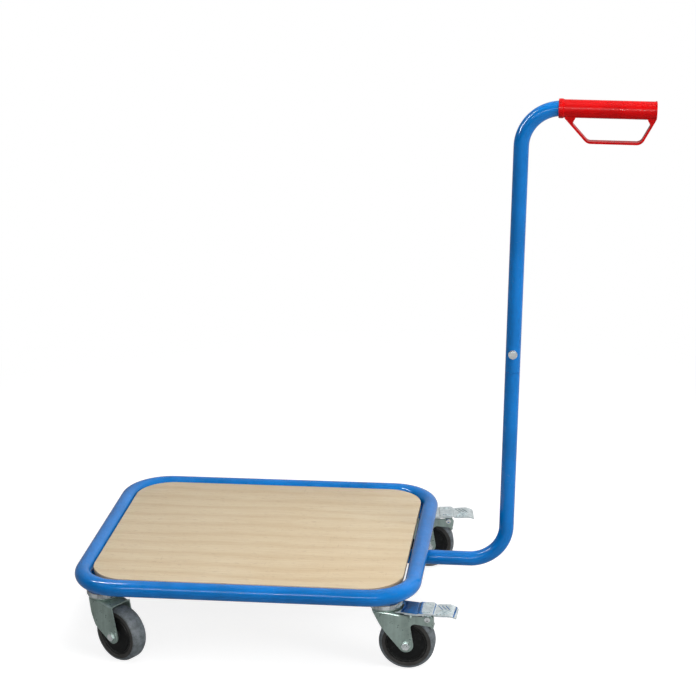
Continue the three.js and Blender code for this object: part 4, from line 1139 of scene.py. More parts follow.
@dataclass(frozen=True)
class HubPlastic(Finish):
    """Matte moulded polypropylene of a wheel hub."""

    colour: Colour

    def paint(self, painter: Painter) -> None:
        """Builds the eroded mould grain with dust towards the rim.

        Args:
            painter: The new material.
        """
        canvas = painter.canvas
        tone = painter.effect(Effect.CLOUDS, Scale=55.0, Low=0.0, High=1.0)["Value"]
        pale = tuple(c * 1.7 + 0.004 for c in self.colour)
        scuffs = painter.effect(Effect.SCUFFS, Scale=110.0, Amount=0.35)["Mask"]
        body = canvas.mix(scuffs, canvas.mix(tone, self.colour, pale), srgb(96, 98, 98))
        rim = painter.effect(Effect.RADIUS, Start=0.0285, End=0.037)["Mask"]
        dusty = canvas.math("MULTIPLY", rim, painter.effect(Effect.CLOUDS, Scale=140.0, Low=0.0, High=0.16)["Value"])
        painter.set(Base_Color=canvas.mix(dusty, body, srgb(128, 128, 124)))
        painter.set(Roughness=painter.effect(Effect.CLOUDS, Scale=120.0, Low=0.42, High=0.58)["Value"])
        painter.set(Specular_IOR_Level=0.15)
        painter.bump(painter.effect(Effect.PEEL, Scale=1500.0, Dust_Share=0.0)["Height"], 0.00003, 0.6)


@dataclass(frozen=True)
class TyreRubber(Finish):
    """Grey non-marking rubber, polished and mottled on the tread."""

    side: Colour
    tread: Colour
    worn: Colour

    def paint(self, painter: Painter) -> None:
        """Builds the dark moulded sides and the paler rolled tread.

        Args:
            painter: The new material.
        """
        canvas = painter.canvas
        mask = painter.effect(Effect.RADIUS, Start=0.0428, End=0.0446)["Mask"]
        mottle = painter.effect(Effect.CLOUDS, Scale=95.0, Low=0.0, High=1.0)["Value"]
        fine = painter.effect(Effect.CLOUDS, Scale=420.0, Low=0.0, High=0.5)["Value"]
        blotches = canvas.math("MULTIPLY", canvas.math("ADD", mottle, fine), 0.66, True)
        rolled = canvas.mix(blotches, self.tread, self.worn)
        flank_tone = painter.effect(Effect.CLOUDS, Scale=70.0, Low=0.0, High=0.5)["Value"]
        flank = canvas.mix(flank_tone, self.side, tuple(c * 1.8 for c in self.side))
        painter.set(Base_Color=canvas.mix(mask, flank, rolled))
        painter.set(Roughness=painter.effect(Effect.CLOUDS, Scale=160.0, Low=0.5, High=0.78)["Value"])
        painter.set(Specular_IOR_Level=0.3)
        painter.bump(painter.effect(Effect.PEEL, Scale=1100.0, Dust_Share=0.3)["Height"], 0.00005, 0.6)


BLUE = PowderCoat("Blue powder coat", "blue_powder_coat", srgb(0, 126, 214))
VENEER = BirchFace("Birch veneer", "plywood", srgb(238, 220, 188), srgb(218, 190, 146), srgb(170, 132, 88))
PLY_EDGE = BirchEdge("Birch ply edge", "plywood", srgb(234, 214, 178), srgb(172, 128, 84), srgb(92, 58, 34),
                     bottom=0.144, pitch=0.0018)
ZINC = ZincPlate("Zinc plate", "zinc_plated_steel", srgb(168, 187, 180), srgb(138, 155, 148), 0.34, 0.45, 0.0)
# A pale colour on the rounded edges of zinc parts: a painted highlight along their outlines.
PAINTED_EDGE_HIGHLIGHT = ZincPlate("Zinc edge with painted highlight", "zinc_plated_steel", srgb(242, 248, 248), srgb(220, 228, 228), 0.26, 0.2)
BRIGHT_ZINC = ZincPlate("Bright zinc fastener", "zinc_plated_steel", srgb(246, 250, 250), srgb(214, 222, 224), 0.16)
# The swivel head's dark second colour, mixed in clouds and upright streaks, is painted shade and painted reflections
# on the zinc.
HEAD_ZINC_PAINTED_SHADE_AND_REFLECTIONS = ZincPlate("Zinc head with painted shade and reflections", "zinc_plated_steel", srgb(236, 242, 244), srgb(92, 104, 110), 0.12)
PEDAL_ZINC = ZincPlate("Bright pressed zinc", "zinc_plated_steel", srgb(232, 242, 244), srgb(196, 210, 214), 0.13)
RED = GlossPlastic("Red moulded plastic", "red_plastic", srgb(224, 4, 8), 0.3)
BLACK = HubPlastic("Black hub plastic", "black_plastic", srgb(12, 14, 14))
RUBBER = TyreRubber("Grey tyre rubber", "grey_rubber", srgb(58, 57, 55), srgb(90, 98, 101), srgb(136, 143, 148))
RACE_STEEL = ZincPlate("Race steel", "zinc_plated_steel", srgb(206, 210, 210), srgb(150, 154, 154), 0.18)


# Fasteners and welds.


@dataclass(frozen=True)
class Hexagon:
    """A hexagonal bolt head or nut about the Z axis."""

    across_flats: float
    low: float
    high: float
    chamfer: float = 0.75

    def solid(self) -> Solid:
        """The hexagon with both ends turned to a cone.

        Returns:
            The hexagon.
        """
        corner = self.across_flats / math.sqrt(3)
        flat = self.across_flats / 2 - 0.15
        block = Solid.prism(circle(corner, 6), self.low, self.high)
        turned = Solid.lathe([
            (0, self.low), (flat, self.low), (corner + 0.1, self.low + self.chamfer),
            (corner + 0.1, self.high - self.chamfer), (flat, self.high), (0, self.high),
        ], 48)
        return block.common(turned)


@dataclass(frozen=True)
class ThreadedEnd:
    """The free end of a bolt about the Z axis, with its thread as fine rings."""

    diameter: float
    start: float
    end: float
    pitch: float = 1.25

    def solid(self) -> Solid:
        """The ringed end with a chamfered tip.

        Returns:
            The bolt's end.
        """
        outer, inner = self.diameter / 2, self.diameter / 2 - 0.6 * self.pitch
        profile: list[tuple[float, float]] = [(0, self.start)]
        z = self.start
        while z + self.pitch < self.end:
            profile += [(inner, z), (outer, z + self.pitch * 0.4), (outer, z + self.pitch * 0.55)]
            z += self.pitch
        profile += [(inner, z), (inner, self.end - 0.3), (inner - 0.4, self.end), (0, self.end)]
        return Solid.lathe(profile, 32)


def washer(radius: float, bore: float, low: float, high: float) -> Solid:
    """A flat washer about the Z axis.

    Args:
        radius: Its outer radius.
        bore: Its inner radius.
        low: Its lower face.
        high: Its upper face.

    Returns:
        The washer.
    """
    return Solid.lathe([(bore, low), (radius, low), (radius, high), (bore, high)], 48)


def make_fastener(name: str, solid: Solid, home: Home, bevel: float = 0.2) -> None:
    """Makes a bright bolt or nut with a painted highlight on its rounded edges.

    Args:
        name: The piece's name.
        solid: Its shape.
        home: Its place and its nodes.
        bevel: The width of its rounded edges.
    """
    make_piece(name, solid, home, BRIGHT_ZINC, Edging(bevel, 2), PAINTED_EDGE_HIGHLIGHT)


@dataclass(frozen=True)
class WeldBead:
    """A rippled bead of weld along a line of points."""

    points: Sequence[Vector]
    radii: Sequence[float]
    closed: bool = False
    ripple: float = 0.16
    ripple_length: float = 2.4

    def solid(self) -> Solid:
        """The bead, swept along the line.

        Returns:
            The bead.
        """
        sections = []
        run = 0.0
        count = len(self.points)
        for i, (point, radius) in enumerate(zip(self.points, self.radii)):
            after = self.points[(i + 1) % count] if self.closed else self.points[min(i + 1, count - 1)]
            before = self.points[i - 1] if self.closed or i else self.points[0]
            along = (after - before).normalized()
            run += (point - before).length if i else 0.0
            swell = 1 + self.ripple * math.sin(2 * math.pi * run / self.ripple_length)
            ends = 0.35 if not self.closed and i in (0, count - 1) else 1.0
            up = Vector((0, 0, 1))
            side = along.cross(up).normalized()
            top = side.cross(along)
            reach = radius * swell * ends
            sections.append([point + side * p + top * q for p, q in circle(reach, 10)])
        return Solid.loft(sections, self.closed)


# Deck frame.


@dataclass
class DeckFrame:
    """The ring of tube, the board in it, the crossbars below and the corner plates."""

    offset: float
    length: float = 630
    width: float = 540
    tube_diameter: float = 30
    axis_height: float = 143
    bend_radius: float = 79
    drain_inset: float = 240
    drain_diameter: float = 6
    board_bottom: float = 144
    board_thickness: float = 9
    board_gap: float = 2.5
    board_corner: float = 70
    bar_spacing: float = 280
    bar_width: float = 30
    bar_thickness: float = 5
    screw_spacing: float = 300
    plate_bottom: float = 128
    plate_thickness: float = 4
    plate_arm: float = 34
    caster_inset: tuple[float, float] = (61, 51)
    body: str = "deck_frame"

    def home(self, *nodes: str) -> Home:
        """The place of a piece of the deck, with the nodes that it stands for."""
        return Home(self.body, Matrix.Translation((-self.offset * MM, 0, 0)), nodes)

    def build(self) -> None:
        """Makes all pieces of the deck."""
        make_piece("ring_tube", self.ring(), self.home("frame_ring"), BLUE, Edging(0.3, 2, 50, 50))
        self.build_board()
        for name, side in (("crossbar_left", -1), ("crossbar_right", 1)):
            self.build_crossbar(name, side)
        for name, sx, sy in CORNERS:
            plate = self.corner_plate(sx, sy)
            make_piece(f"{name}_plate", plate, self.home(f"{name}_corner_plate"), BLUE, Edging(0.6, 3))
            make_piece(f"{name}_plate_weld", self.plate_weld(sx, sy), self.home(), BLUE)

    def ring(self) -> Solid:
        """The bent ring with its drain hole.

        Returns:
            The ring.
        """
        x, y = (self.length - self.tube_diameter) / 2, (self.width - self.tube_diameter) / 2
        corners = [Vector((sx * x, sy * y, self.axis_height)) for sx, sy in ((1, -1), (1, 1), (-1, 1), (-1, -1))]
        path = bent_path(corners, self.bend_radius, 20, True)
        tube = Solid.tube(path, Vector((0, 0, 1)), self.tube_diameter / 2, 0, 48, True)
        drain = Solid.bar(self.drain_diameter / 2, self.axis_height - 40, self.axis_height - 6, 24)
        return tube.minus(drain.moved(self.length / 2 - self.drain_inset, -y, 0))

    def build_board(self) -> None:
        """Makes the board with its rounded edges, faces of veneer and layered sides."""
        half_x = self.length / 2 - self.tube_diameter - self.board_gap
        half_y = self.width / 2 - self.tube_diameter - self.board_gap
        top = self.board_bottom + self.board_thickness
        levels = [(1.1, self.board_bottom), (0.35, self.board_bottom + 0.3), (0, self.board_bottom + 1.1),
                  (0, top - 1.1), (0.35, top - 0.3), (1.1, top)]
        sections = [[(x, y, z) for x, y in rounded_box(half_x - i, half_y - i, self.board_corner - i, 24)]
                    for i, z in levels]
        thing = make_piece("plywood_board", Solid.loft(sections), self.home("deck_board"), VENEER)
        thing.data.materials.append(PLY_EDGE.material())
        for face in thing.data.polygons:
            face.material_index = 0 if abs(face.normal.z) > 0.9 else 1

    def build_crossbar(self, name: str, side: int) -> None:
        """Makes a crossbar, its two screws and the welds at its ends.

        Args:
            name: The crossbar's node.
            side: -1 for the left bar, 1 for the right.
        """
        top = self.board_bottom - 0.3
        bottom = top - self.bar_thickness
        half = self.width / 2 - self.tube_diameter - 0.3
        x = side * self.bar_spacing / 2
        flat = Solid.prism(rounded_box(self.bar_width / 2, half, 1.5, 4), bottom, top).moved(x, 0, 0)
        make_piece(f"{name}_flat", flat, self.home(name), BLUE, Edging(0.8, 3))
        for place, y in (("front", -self.screw_spacing / 2), ("rear", self.screw_spacing / 2)):
            head = Solid.lathe([(0, bottom - 2.5), (2.4, bottom - 2.35), (4.2, bottom - 1.6), (5, bottom - 0.5),
                                (5, bottom + 0.1), (0, bottom + 0.1)], 32)
            slots = [Solid.prism(rounded_box(a, b, 0.2, 2), bottom - 3.2, bottom - 1.2)
                     for a, b in ((2.6, 0.45), (0.45, 2.6))]
            screw = head.minus(*slots).moved(x, y, 0)
            make_piece(f"{name}_{place}_screw", screw, self.home(), ZINC, Edging(0.15, 2))
        for place, y in (("front", -half), ("rear", half)):
            steps = 24
            xs = [x + (k / steps - 0.5) * (self.bar_width - 4) for k in range(steps + 1)]
            bead = WeldBead([Vector((p, y, bottom - 0.2)) for p in xs], [1.7] * (steps + 1))
            make_piece(f"{name}_{place}_weld", bead.solid(), self.home(), BLUE)

    def plate_outline(self) -> tuple[float, list[tuple[float, float]]]:
        """The corner plate's arc radius and its outline about the centre of the ring's bend.

        Returns:
            The radius and the outline.
        """
        tube = self.tube_diameter / 2
        reach = math.sqrt(tube ** 2 - (tube - self.plate_thickness) ** 2) + 0.3
        radius = self.bend_radius - reach
        return radius, [(radius, -self.plate_arm), *arc(0, 0, radius, 0, 90, 20), (-self.plate_arm, radius)]

    def corner_plate(self, sx: int, sy: int) -> Solid:
        """The plate in one corner of the ring.

        Args:
            sx: 1 or -1 for the right or left corner.
            sy: 1 or -1 for the rear or front corner.

        Returns:
            The plate.
        """
        outline = self.plate_outline()[1]
        inset = self.tube_diameter / 2 + self.bend_radius
        hole = circle(5.3, 32, inset - self.caster_inset[0], inset - self.caster_inset[1])
        top = self.plate_bottom + self.plate_thickness
        plate = Solid.prism(outline, self.plate_bottom, top)
        plate = plate.minus(Solid.prism(hole, self.plate_bottom - 2, top + 2))
        return self.in_corner(plate, sx, sy)

    def in_corner(self, solid: Solid, sx: int, sy: int) -> Solid:
        """Mirrors a solid of the +X, +Y corner into another and moves it there.

        Args:
            solid: The solid.
            sx: 1 or -1 for the right or left corner.
            sy: 1 or -1 for the rear or front corner.

        Returns:
            The solid in its corner.
        """
        inset = self.tube_diameter / 2 + self.bend_radius
        mirror = Matrix.Diagonal((sx, sy, 1, 1))
        place = Matrix.Translation((sx * (self.length / 2 - inset), sy * (self.width / 2 - inset), 0))
        return solid.placed(place @ mirror)

    def plate_weld(self, sx: int, sy: int) -> Solid:
        """The bead between a corner plate's arc and the tube, seen from below.

        Args:
            sx: 1 or -1 for the right or left corner.
            sy: 1 or -1 for the rear or front corner.

        Returns:
            The bead.
        """
        radius = self.plate_outline()[0]
        places = arc(0, 0, radius + 0.2, 6, 84, 60)
        points = [Vector((x, y, self.plate_bottom + 0.5)) for x, y in places]
        return self.in_corner(WeldBead(points, [1.5] * len(points)).solid(), sx, sy)


CORNERS = (("front_left", -1, -1), ("front_right", 1, -1), ("rear_left", -1, 1), ("rear_right", 1, 1))


# Push handle.


@dataclass
class PushHandle:
    """The two handle tubes, the sleeve that joins them and the bolt through it."""

    offset: float
    frame_length: float = 630
    tube_diameter: float = 27
    wall: float = 2
    bend_radius: float = 69
    beam_height: float = 114.2
    end_inset: float = 8
    reach: float = 139.8
    lean: float = 1.46
    seam_height: float = 484
    bolt_height: float = 519
    sleeve_length: float = 150
    grip_height: float = 963.5
    droop: float = 1.0
    tube_end: float = 223.5
    ring_axis: float = 143
    ring_radius: float = 15
    body: str = "deck_frame"

    def home(self, *nodes: str) -> Home:
        """The place of a piece of the handle, with the nodes that it stands for."""
        return Home(self.body, Matrix.Translation((-self.offset * MM, 0, 0)), nodes)

    def on_upright(self, height: float) -> Vector:
        """The point of the upright's axis at a height."""
        foot = self.frame_length / 2 + self.reach
        return Vector((foot + (height - self.beam_height) * math.tan(math.radians(self.lean)), 0, height))

    def build(self) -> None:
        """Makes all pieces of the handle."""
        normal = Vector((0, 1, 0))
        edging = Edging(0.35, 2, 50, 50)
        lower = bent_path([Vector((self.end_inset - self.frame_length / 2, 0, self.beam_height)),
                           self.corner_low(), self.on_upright(self.seam_height - 0.15)], self.bend_radius, 28)
        droop = math.radians(self.droop)
        end = self.on_upright(self.grip_height) + Vector((math.cos(droop), 0, -math.sin(droop))) * self.tube_end
        upper = bent_path([self.on_upright(self.seam_height + 0.15), self.on_upright(self.grip_height), end],
                          self.bend_radius, 28)
        radius = self.tube_diameter / 2
        make_piece("lower_tube", Solid.tube(lower, normal, radius, self.wall, 48),
                   self.home("handle_lower_tube"), BLUE, edging)
        make_piece("upper_tube", Solid.tube(upper, normal, radius, self.wall, 48),
                   self.home("handle_upper_tube"), BLUE, edging)
        self.build_sleeve(normal)
        self.build_bolt()
        for name, side in (("left", -1), ("right", 1)):
            make_piece(f"beam_weld_{name}", self.saddle_weld(side), self.home(), BLUE)

    def corner_low(self) -> Vector:
        """The corner where the beam's axis meets the upright's."""
        return Vector((self.frame_length / 2 + self.reach, 0, self.beam_height))

    def build_sleeve(self, normal: Vector) -> None:
        """Makes the inner sleeve across the seam.

        Args:
            normal: The normal of the plane that the handle is bent in.
        """
        lean = math.radians(self.lean)
        along = Vector((math.sin(lean), 0, math.cos(lean)))
        middle = self.on_upright(self.seam_height)
        half = self.sleeve_length / 2
        path = [Station(middle + along * s, along) for s in (-half, half)]
        sleeve = Solid.tube(path, normal, self.tube_diameter / 2 - self.wall - 0.3, 2, 40)
        make_piece("joint_sleeve", sleeve, self.home("handle_spigot"), ZINC, Edging(0.3, 2, 50, 50))

    def build_bolt(self) -> None:
        """Makes the bolt and nut with their washers, laid along Y through the upright."""
        place = self.on_upright(self.bolt_height)
        matrix = Matrix.Translation((place - Vector((self.offset, 0, 0))) * MM)
        matrix = matrix @ Matrix.Rotation(-math.pi / 2, 4, "X") @ Matrix.Rotation(math.pi / 6, 4, "Z")
        seat = self.tube_diameter / 2 + 0.3
        head = Hexagon(13, -seat - 6.8, -seat - 1.5).solid()
        shank = Solid.bar(4, -seat - 2, seat + 6.8)
        tip = ThreadedEnd(8, seat + 6.5, seat + 10).solid()
        ring = washer(8.25, 3.5, -seat - 1.5, -seat)
        bolt = head.beside(ring, shank, tip)
        make_fastener("joint_bolt", bolt, Home(self.body, matrix, ("handle_bolt",)))
        nut = Hexagon(13, seat + 1.4, seat + 8).solid().minus(Solid.bar(4.2, seat, seat + 10))
        nut = nut.beside(washer(8.25, 4.3, seat, seat + 1.5))
        make_fastener("joint_nut", nut, Home(self.body, matrix, ("handle_nut",)))

    def saddle_weld(self, side: int) -> Solid:
        """The bead round the place where the beam touches the ring from below.

        Args:
            side: -1 for the left end of the ring, 1 for the right.

        Returns:
            The bead.
        """
        x0 = side * (self.frame_length / 2 - self.ring_radius)
        radius = self.tube_diameter / 2
        points, sizes = [], []
        for k in range(48):
            turn = 2 * math.pi * k / 48
            x, y = 7.4 * math.cos(turn), 7.0 * math.sin(turn)
            high = self.ring_axis - math.sqrt(self.ring_radius ** 2 - x ** 2)
            low = self.beam_height + math.sqrt(radius ** 2 - y ** 2)
            points.append(Vector((x0 + x, y, (high + low) / 2)))
            sizes.append((high - low) / 2 + 0.9)
        return WeldBead(points, sizes, True).solid()


@dataclass
class Grip:
    """The closed red grip with its collar, end rim and hand guard, its axis along +X."""

    handle: PushHandle
    start: float = 61.8
    length: float = 168.2
    radius: float = 15.8
    collar_radius: float = 17.1
    collar_length: float = 8.8
    rim_radius: float = 16.5
    rim_length: float = 3.0
    guard_width: float = 18
    strap: float = 3.8
    depth: float = 59.2
    foot_start: float = 10.8
    bottom: tuple[float, float] = (50.6, 144)
    corner_radius: float = 15
    web: tuple[float, float] = (5, 9)

    def build(self) -> None:
        """Makes the grip."""
        handle = self.handle
        droop = math.radians(handle.droop)
        mouth = handle.on_upright(handle.grip_height) - Vector((handle.offset, 0, 0))
        mouth += Vector((math.cos(droop), 0, -math.sin(droop))) * self.start
        matrix = Matrix.Translation(mouth * MM) @ Matrix.Rotation(droop, 4, "Y")
        body = self.sleeve().plus(self.guard()).minus(self.bore())
        place = Home(handle.body, matrix, ("grip",))
        make_piece("hand_grip", merged_coplanar(body), place, RED, Edging(0.9, 3, 35, 40))

    def turned(self, profile: Profile) -> Solid:
        """A turned solid laid along X."""
        return Solid.lathe(profile, 64).placed(Matrix.Rotation(math.pi / 2, 4, "Y"))

    def sleeve(self) -> Solid:
        """The sleeve's turned outside.

        Returns:
            The sleeve, still without its bore.
        """
        end = self.length
        return self.turned([
            (0, 0), (self.collar_radius - 1.4, 0), (self.collar_radius - 0.4, 0.4), (self.collar_radius, 1.4),
            (self.collar_radius, self.collar_length - 1.6), (self.collar_radius - 0.3, self.collar_length - 0.7),
            (self.radius + 0.2, self.collar_length + 0.3), (self.radius, self.collar_length + 1.2),
            (self.radius, end - self.rim_length - 2), (self.rim_radius - 0.2, end - self.rim_length),
            (self.rim_radius, end - self.rim_length + 0.6), (self.rim_radius, end - 1.6),
            (self.rim_radius - 0.6, end - 0.5), (self.rim_radius - 2.4, end), (0, end),
        ])

    def bore(self) -> Solid:
        """The space that the tube fills, with its flared mouth."""
        inner = self.handle.tube_diameter / 2 + 0.3
        return self.turned([(0, -1), (inner + 1.1, -1), (inner, 9), (inner, self.length - 4), (0, self.length - 4)])

    def guard(self) -> Solid:
        """The bent strap below the sleeve with the webs at its ends.

        Returns:
            The guard.
        """
        radius, end = self.radius, self.length - 1.4
        low, high = self.bottom
        foot = self.foot_start
        first = Vector((low - foot, self.depth - radius))
        last = Vector((end - high, self.depth - radius))
        shift = [self.strap * (s.length - s.x) / s.y for s in (first, last)]
        run = [self.strap * s.length / s.y for s in (first, last)]
        share = self.web[1] / first.y
        start_web = foot + run[0] + first.x * share
        end_web = end - run[1] - last.x * share
        outer = rounded([(foot, 0), (foot, -radius), (low, -self.depth, self.corner_radius),
                         (high, -self.depth, self.corner_radius), (end, -radius), (end, 0)], 12)
        inside = self.corner_radius - self.strap
        inner = rounded([
            (start_web + self.web[0], -radius / 2), (start_web + self.web[0], -radius + 0.5, 2.5),
            (start_web, -radius - self.web[1], 4), (low + shift[0], self.strap - self.depth, inside),
            (high - shift[1], self.strap - self.depth, inside), (end_web, -radius - self.web[1], 4),
            (end_web - self.web[0], -radius + 0.5, 2.5), (end_web - self.web[0], -radius / 2),
        ], 12)
        half = self.guard_width / 2
        strap = Solid.side_prism(outer, -half, half)
        return strap.minus(Solid.side_prism(inner, -half - 2, half + 2))


# Casters.


@dataclass
class Wheel:
    """A wheel about its own axle, which lies along the Z axis of its frame."""

    radius: float = 50
    tread_width: float = 17
    side_radius: float = 46.5
    tyre_width: float = 31.6
    hub_radius: float = 37
    hub_width: float = 30
    groove: tuple[float, float, float] = (30.5, 33.7, 1.5)
    boss: tuple[float, float] = (11.5, 13)
    boss_face: float = 20.2
    bore: float = 6.6

    def tyre(self) -> Solid:
        """The tyre with rounded shoulders and a faint crown.

        Returns:
            The tyre.
        """
        half, tread = self.tyre_width / 2, self.tread_width / 2
        upper = [
            (self.hub_radius + 0.3, half - 0.5), (self.hub_radius + 0.8, half), (self.side_radius - 4.2, half),
            (self.side_radius - 3.9, half - 0.35), (self.side_radius - 3.2, half - 0.35),
            (self.side_radius - 2.6, half), (self.side_radius - 1.1, half - 0.05),
            (self.side_radius + 0.1, half - 0.7),
            (self.radius - 1.1, tread + 3.0), (self.radius - 0.35, tread + 1.3), (self.radius - 0.08, tread),
            (self.radius, tread - 3),
        ]
        lower = [(radius, -z) for radius, z in reversed(upper)]
        return Solid.lathe([*upper, *lower], 96)

    def hub(self) -> Solid:
        """The hub with its grooved faces, dished web and bosses.

        Returns:
            The hub.
        """
        face = self.hub_width / 2
        inner, outer, depth = self.groove
        upper = [
            (self.bore, self.boss_face), (self.boss[0] - 0.6, self.boss_face), (self.boss[0], self.boss_face - 0.6),
            (self.boss[1] - 0.4, face + 0.6), (self.boss[1] + 0.6, face), (inner - 0.4, face),
            (inner, face - 0.25), (inner + 0.7, face - depth), (outer - 0.7, face - depth), (outer, face - 0.25),
            (outer + 0.4, face), (self.hub_radius - 0.8, face), (self.hub_radius, face - 0.8),
        ]
        lower = [(radius, -z) for radius, z in reversed(upper)]
        return Solid.lathe([*upper, *lower], 96)


@dataclass
class Fork:
    """The bent sheet fork with its race boss, in the caster's frame."""

    braked: bool
    trail: float = 39
    axle_height: float = 50
    sheet: float = 2.5
    half_width: float = 23.5
    shoulder: float = 6
    foot: float = 20
    crown_height: float = 113
    crown_front: float = 22
    side_radius: float = 72
    side_start: float = 5
    boss_radius: float = 28.5
    boss_height: float = 117.5
    boss_foot: float = 21.5
    bridge_end: float = 40
    bridge_height: float = 107
    nose: float = 13.2
    roof_end_braked: float = 28
    horn_tip: float = 88.6
    horn_top: float = 106.5
    rivet: tuple[float, float] = (47.4, 104)
    pivot: tuple[float, float] = (77.2, 102)
    pivot_bore: float = 3.3
    axle_radius: float = 4.3
    neck_radius: float = 10.3

    def half_width_at(self, x: float) -> float:
        """Half the fork's width at a distance along the trail."""
        run = max(self.side_start - x, 0)
        return self.half_width - self.side_radius + math.sqrt(self.side_radius ** 2 - run ** 2)

    def section(self, x: float, height: float, inset: float) -> list[tuple[float, float, float]]:
        """One upright section of the sheet, shrunk by an inset.

        Args:
            x: The distance along the trail.
            height: The height of the sheet's outer face.
            inset: How far the section is shrunk.

        Returns:
            The section's points.
        """
        half = self.half_width_at(x) - inset
        radius = self.shoulder - inset
        top = height - inset
        flat = [(-half, self.foot - inset), (half, self.foot - inset),
                *arc(half - radius, top - radius, radius, 0, 90, 8),
                *arc(radius - half, top - radius, radius, 90, 180, 8)]
        return [(x, y, z) for y, z in flat]

    def shell(self, roof_end: float) -> Solid:
        """The bent sheet up to the end of its roof.

        Args:
            roof_end: Where the roof ends along the trail.

        Returns:
            The sheet.
        """
        slope = (self.crown_height - self.bridge_height) / (self.bridge_end - self.side_start)
        start = -self.crown_front
        xs = [start + (self.side_start - start) * k / 10 for k in range(11)] + [roof_end]
        heights = [self.crown_height - slope * max(x - self.side_start, 0) for x in xs]
        outside = [self.section(x, z, 0) for x, z in zip(xs, heights)]
        inner_xs = [xs[0] - 2, *xs[1:-1], xs[-1] + 2]
        inside = []
        for x, wide, z in zip(inner_xs, xs, heights):
            inside.append([(x, y, h) for _, y, h in self.section(wide, z, self.sheet)])
        return Solid.loft(outside).minus(Solid.loft(inside))

    def outline(self) -> list[tuple[float, float]]:
        """The fork's outline from the side.

        Returns:
            The outline's points.
        """
        nose = ((self.trail, self.axle_height), self.nose)
        if not self.braked:
            return rounded([
                (-self.crown_front, self.crown_height), (-14, 82, 40), (-2, 61, 12),
                tangent_point((-2, 61), *nose, 1),
                tangent_point((self.bridge_end, self.bridge_height), *nose, -1),
                (self.bridge_end, self.bridge_height), (self.side_start, self.crown_height),
            ], 10)
        return rounded([
            (-self.crown_front, self.crown_height), (-3, 80, 12), tangent_point((-3, 80), *nose, 1),
            tangent_point((47.4, 84), *nose, -1), (47.4, 84), (48.4, 92.6, 8), (86.5, 87.8, 5),
            (self.horn_tip, self.horn_top, 5), (self.bridge_end, self.horn_top),
            (self.side_start, self.crown_height),
        ], 10)

    def boss(self) -> Solid:
        """The raised race on the crown, with a pressed track.

        Returns:
            The race.
        """
        top = self.boss_height
        return Solid.lathe([
            (0, self.crown_height - self.sheet), (self.boss_foot, self.crown_height - self.sheet),
            (self.boss_foot + 1.5, self.crown_height - 0.4), (self.boss_radius - 1.2, top - 2.6),
            (self.boss_radius - 0.3, top - 1.9), (self.boss_radius, top - 1.2), (self.boss_radius - 0.2, top - 0.4),
            (self.boss_radius - 0.9, top), (25.6, top), (24.4, top - 0.5), (21.6, top - 0.5), (20.4, top), (0, top),
        ], 96)

    def solid(self) -> Solid:
        """The whole fork.

        Returns:
            The fork.
        """
        outline = self.outline()
        wide = self.half_width + 3
        nose = Solid.bar_y(self.nose, -wide, wide, self.trail, self.axle_height, 64)
        block = Solid.side_prism(outline, -wide, wide).plus(nose)
        roof_end = self.roof_end_braked if self.braked else self.bridge_end
        crown = self.shell(roof_end).common(block)
        inner = self.half_width - self.sheet
        window = [(roof_end - 0.6, 0), (self.horn_tip + 2, 0), (self.horn_tip + 2, 128), (roof_end - 0.6, 128)]
        legs = []
        for low, high in ((-self.half_width, -inner), (inner, self.half_width)):
            cut = Solid.side_prism(window, low, high)
            legs.append(block.common(cut))
        body = crown.plus(*legs, self.boss())
        if self.braked:
            body = body.plus(*self.rivet_parts())
        cuts = [Solid.bar_y(self.axle_radius, -wide, wide, self.trail, self.axle_height),
                Solid.bar(14, 0, self.crown_height - self.sheet, 64), Solid.bar(self.neck_radius, 0, 128, 64)]
        if self.braked:
            cuts.append(Solid.bar_y(self.pivot_bore, -wide, wide, *self.pivot))
        return merged_coplanar(body.minus(*cuts), 0.15)

    def rivet_parts(self) -> list[Solid]:
        """The spacer rivet between the legs and its domed heads.

        Returns:
            The rivet and its heads.
        """
        x, z = self.rivet
        inner = self.half_width - 0.4
        parts = [Solid.bar_y(2.5, -inner, inner, x, z, 24)]
        for side in (-1, 1):
            dome = Solid.lathe([(0, -0.6), (4, -0.6), (4, 0.4), (3.3, 1.1), (2, 1.45), (0, 1.6)], 32)
            turn = Matrix.Rotation(-side * math.pi / 2, 4, "X")
            parts.append(dome.placed(Matrix.Translation((x, side * self.half_width, z)) @ turn))
        return parts


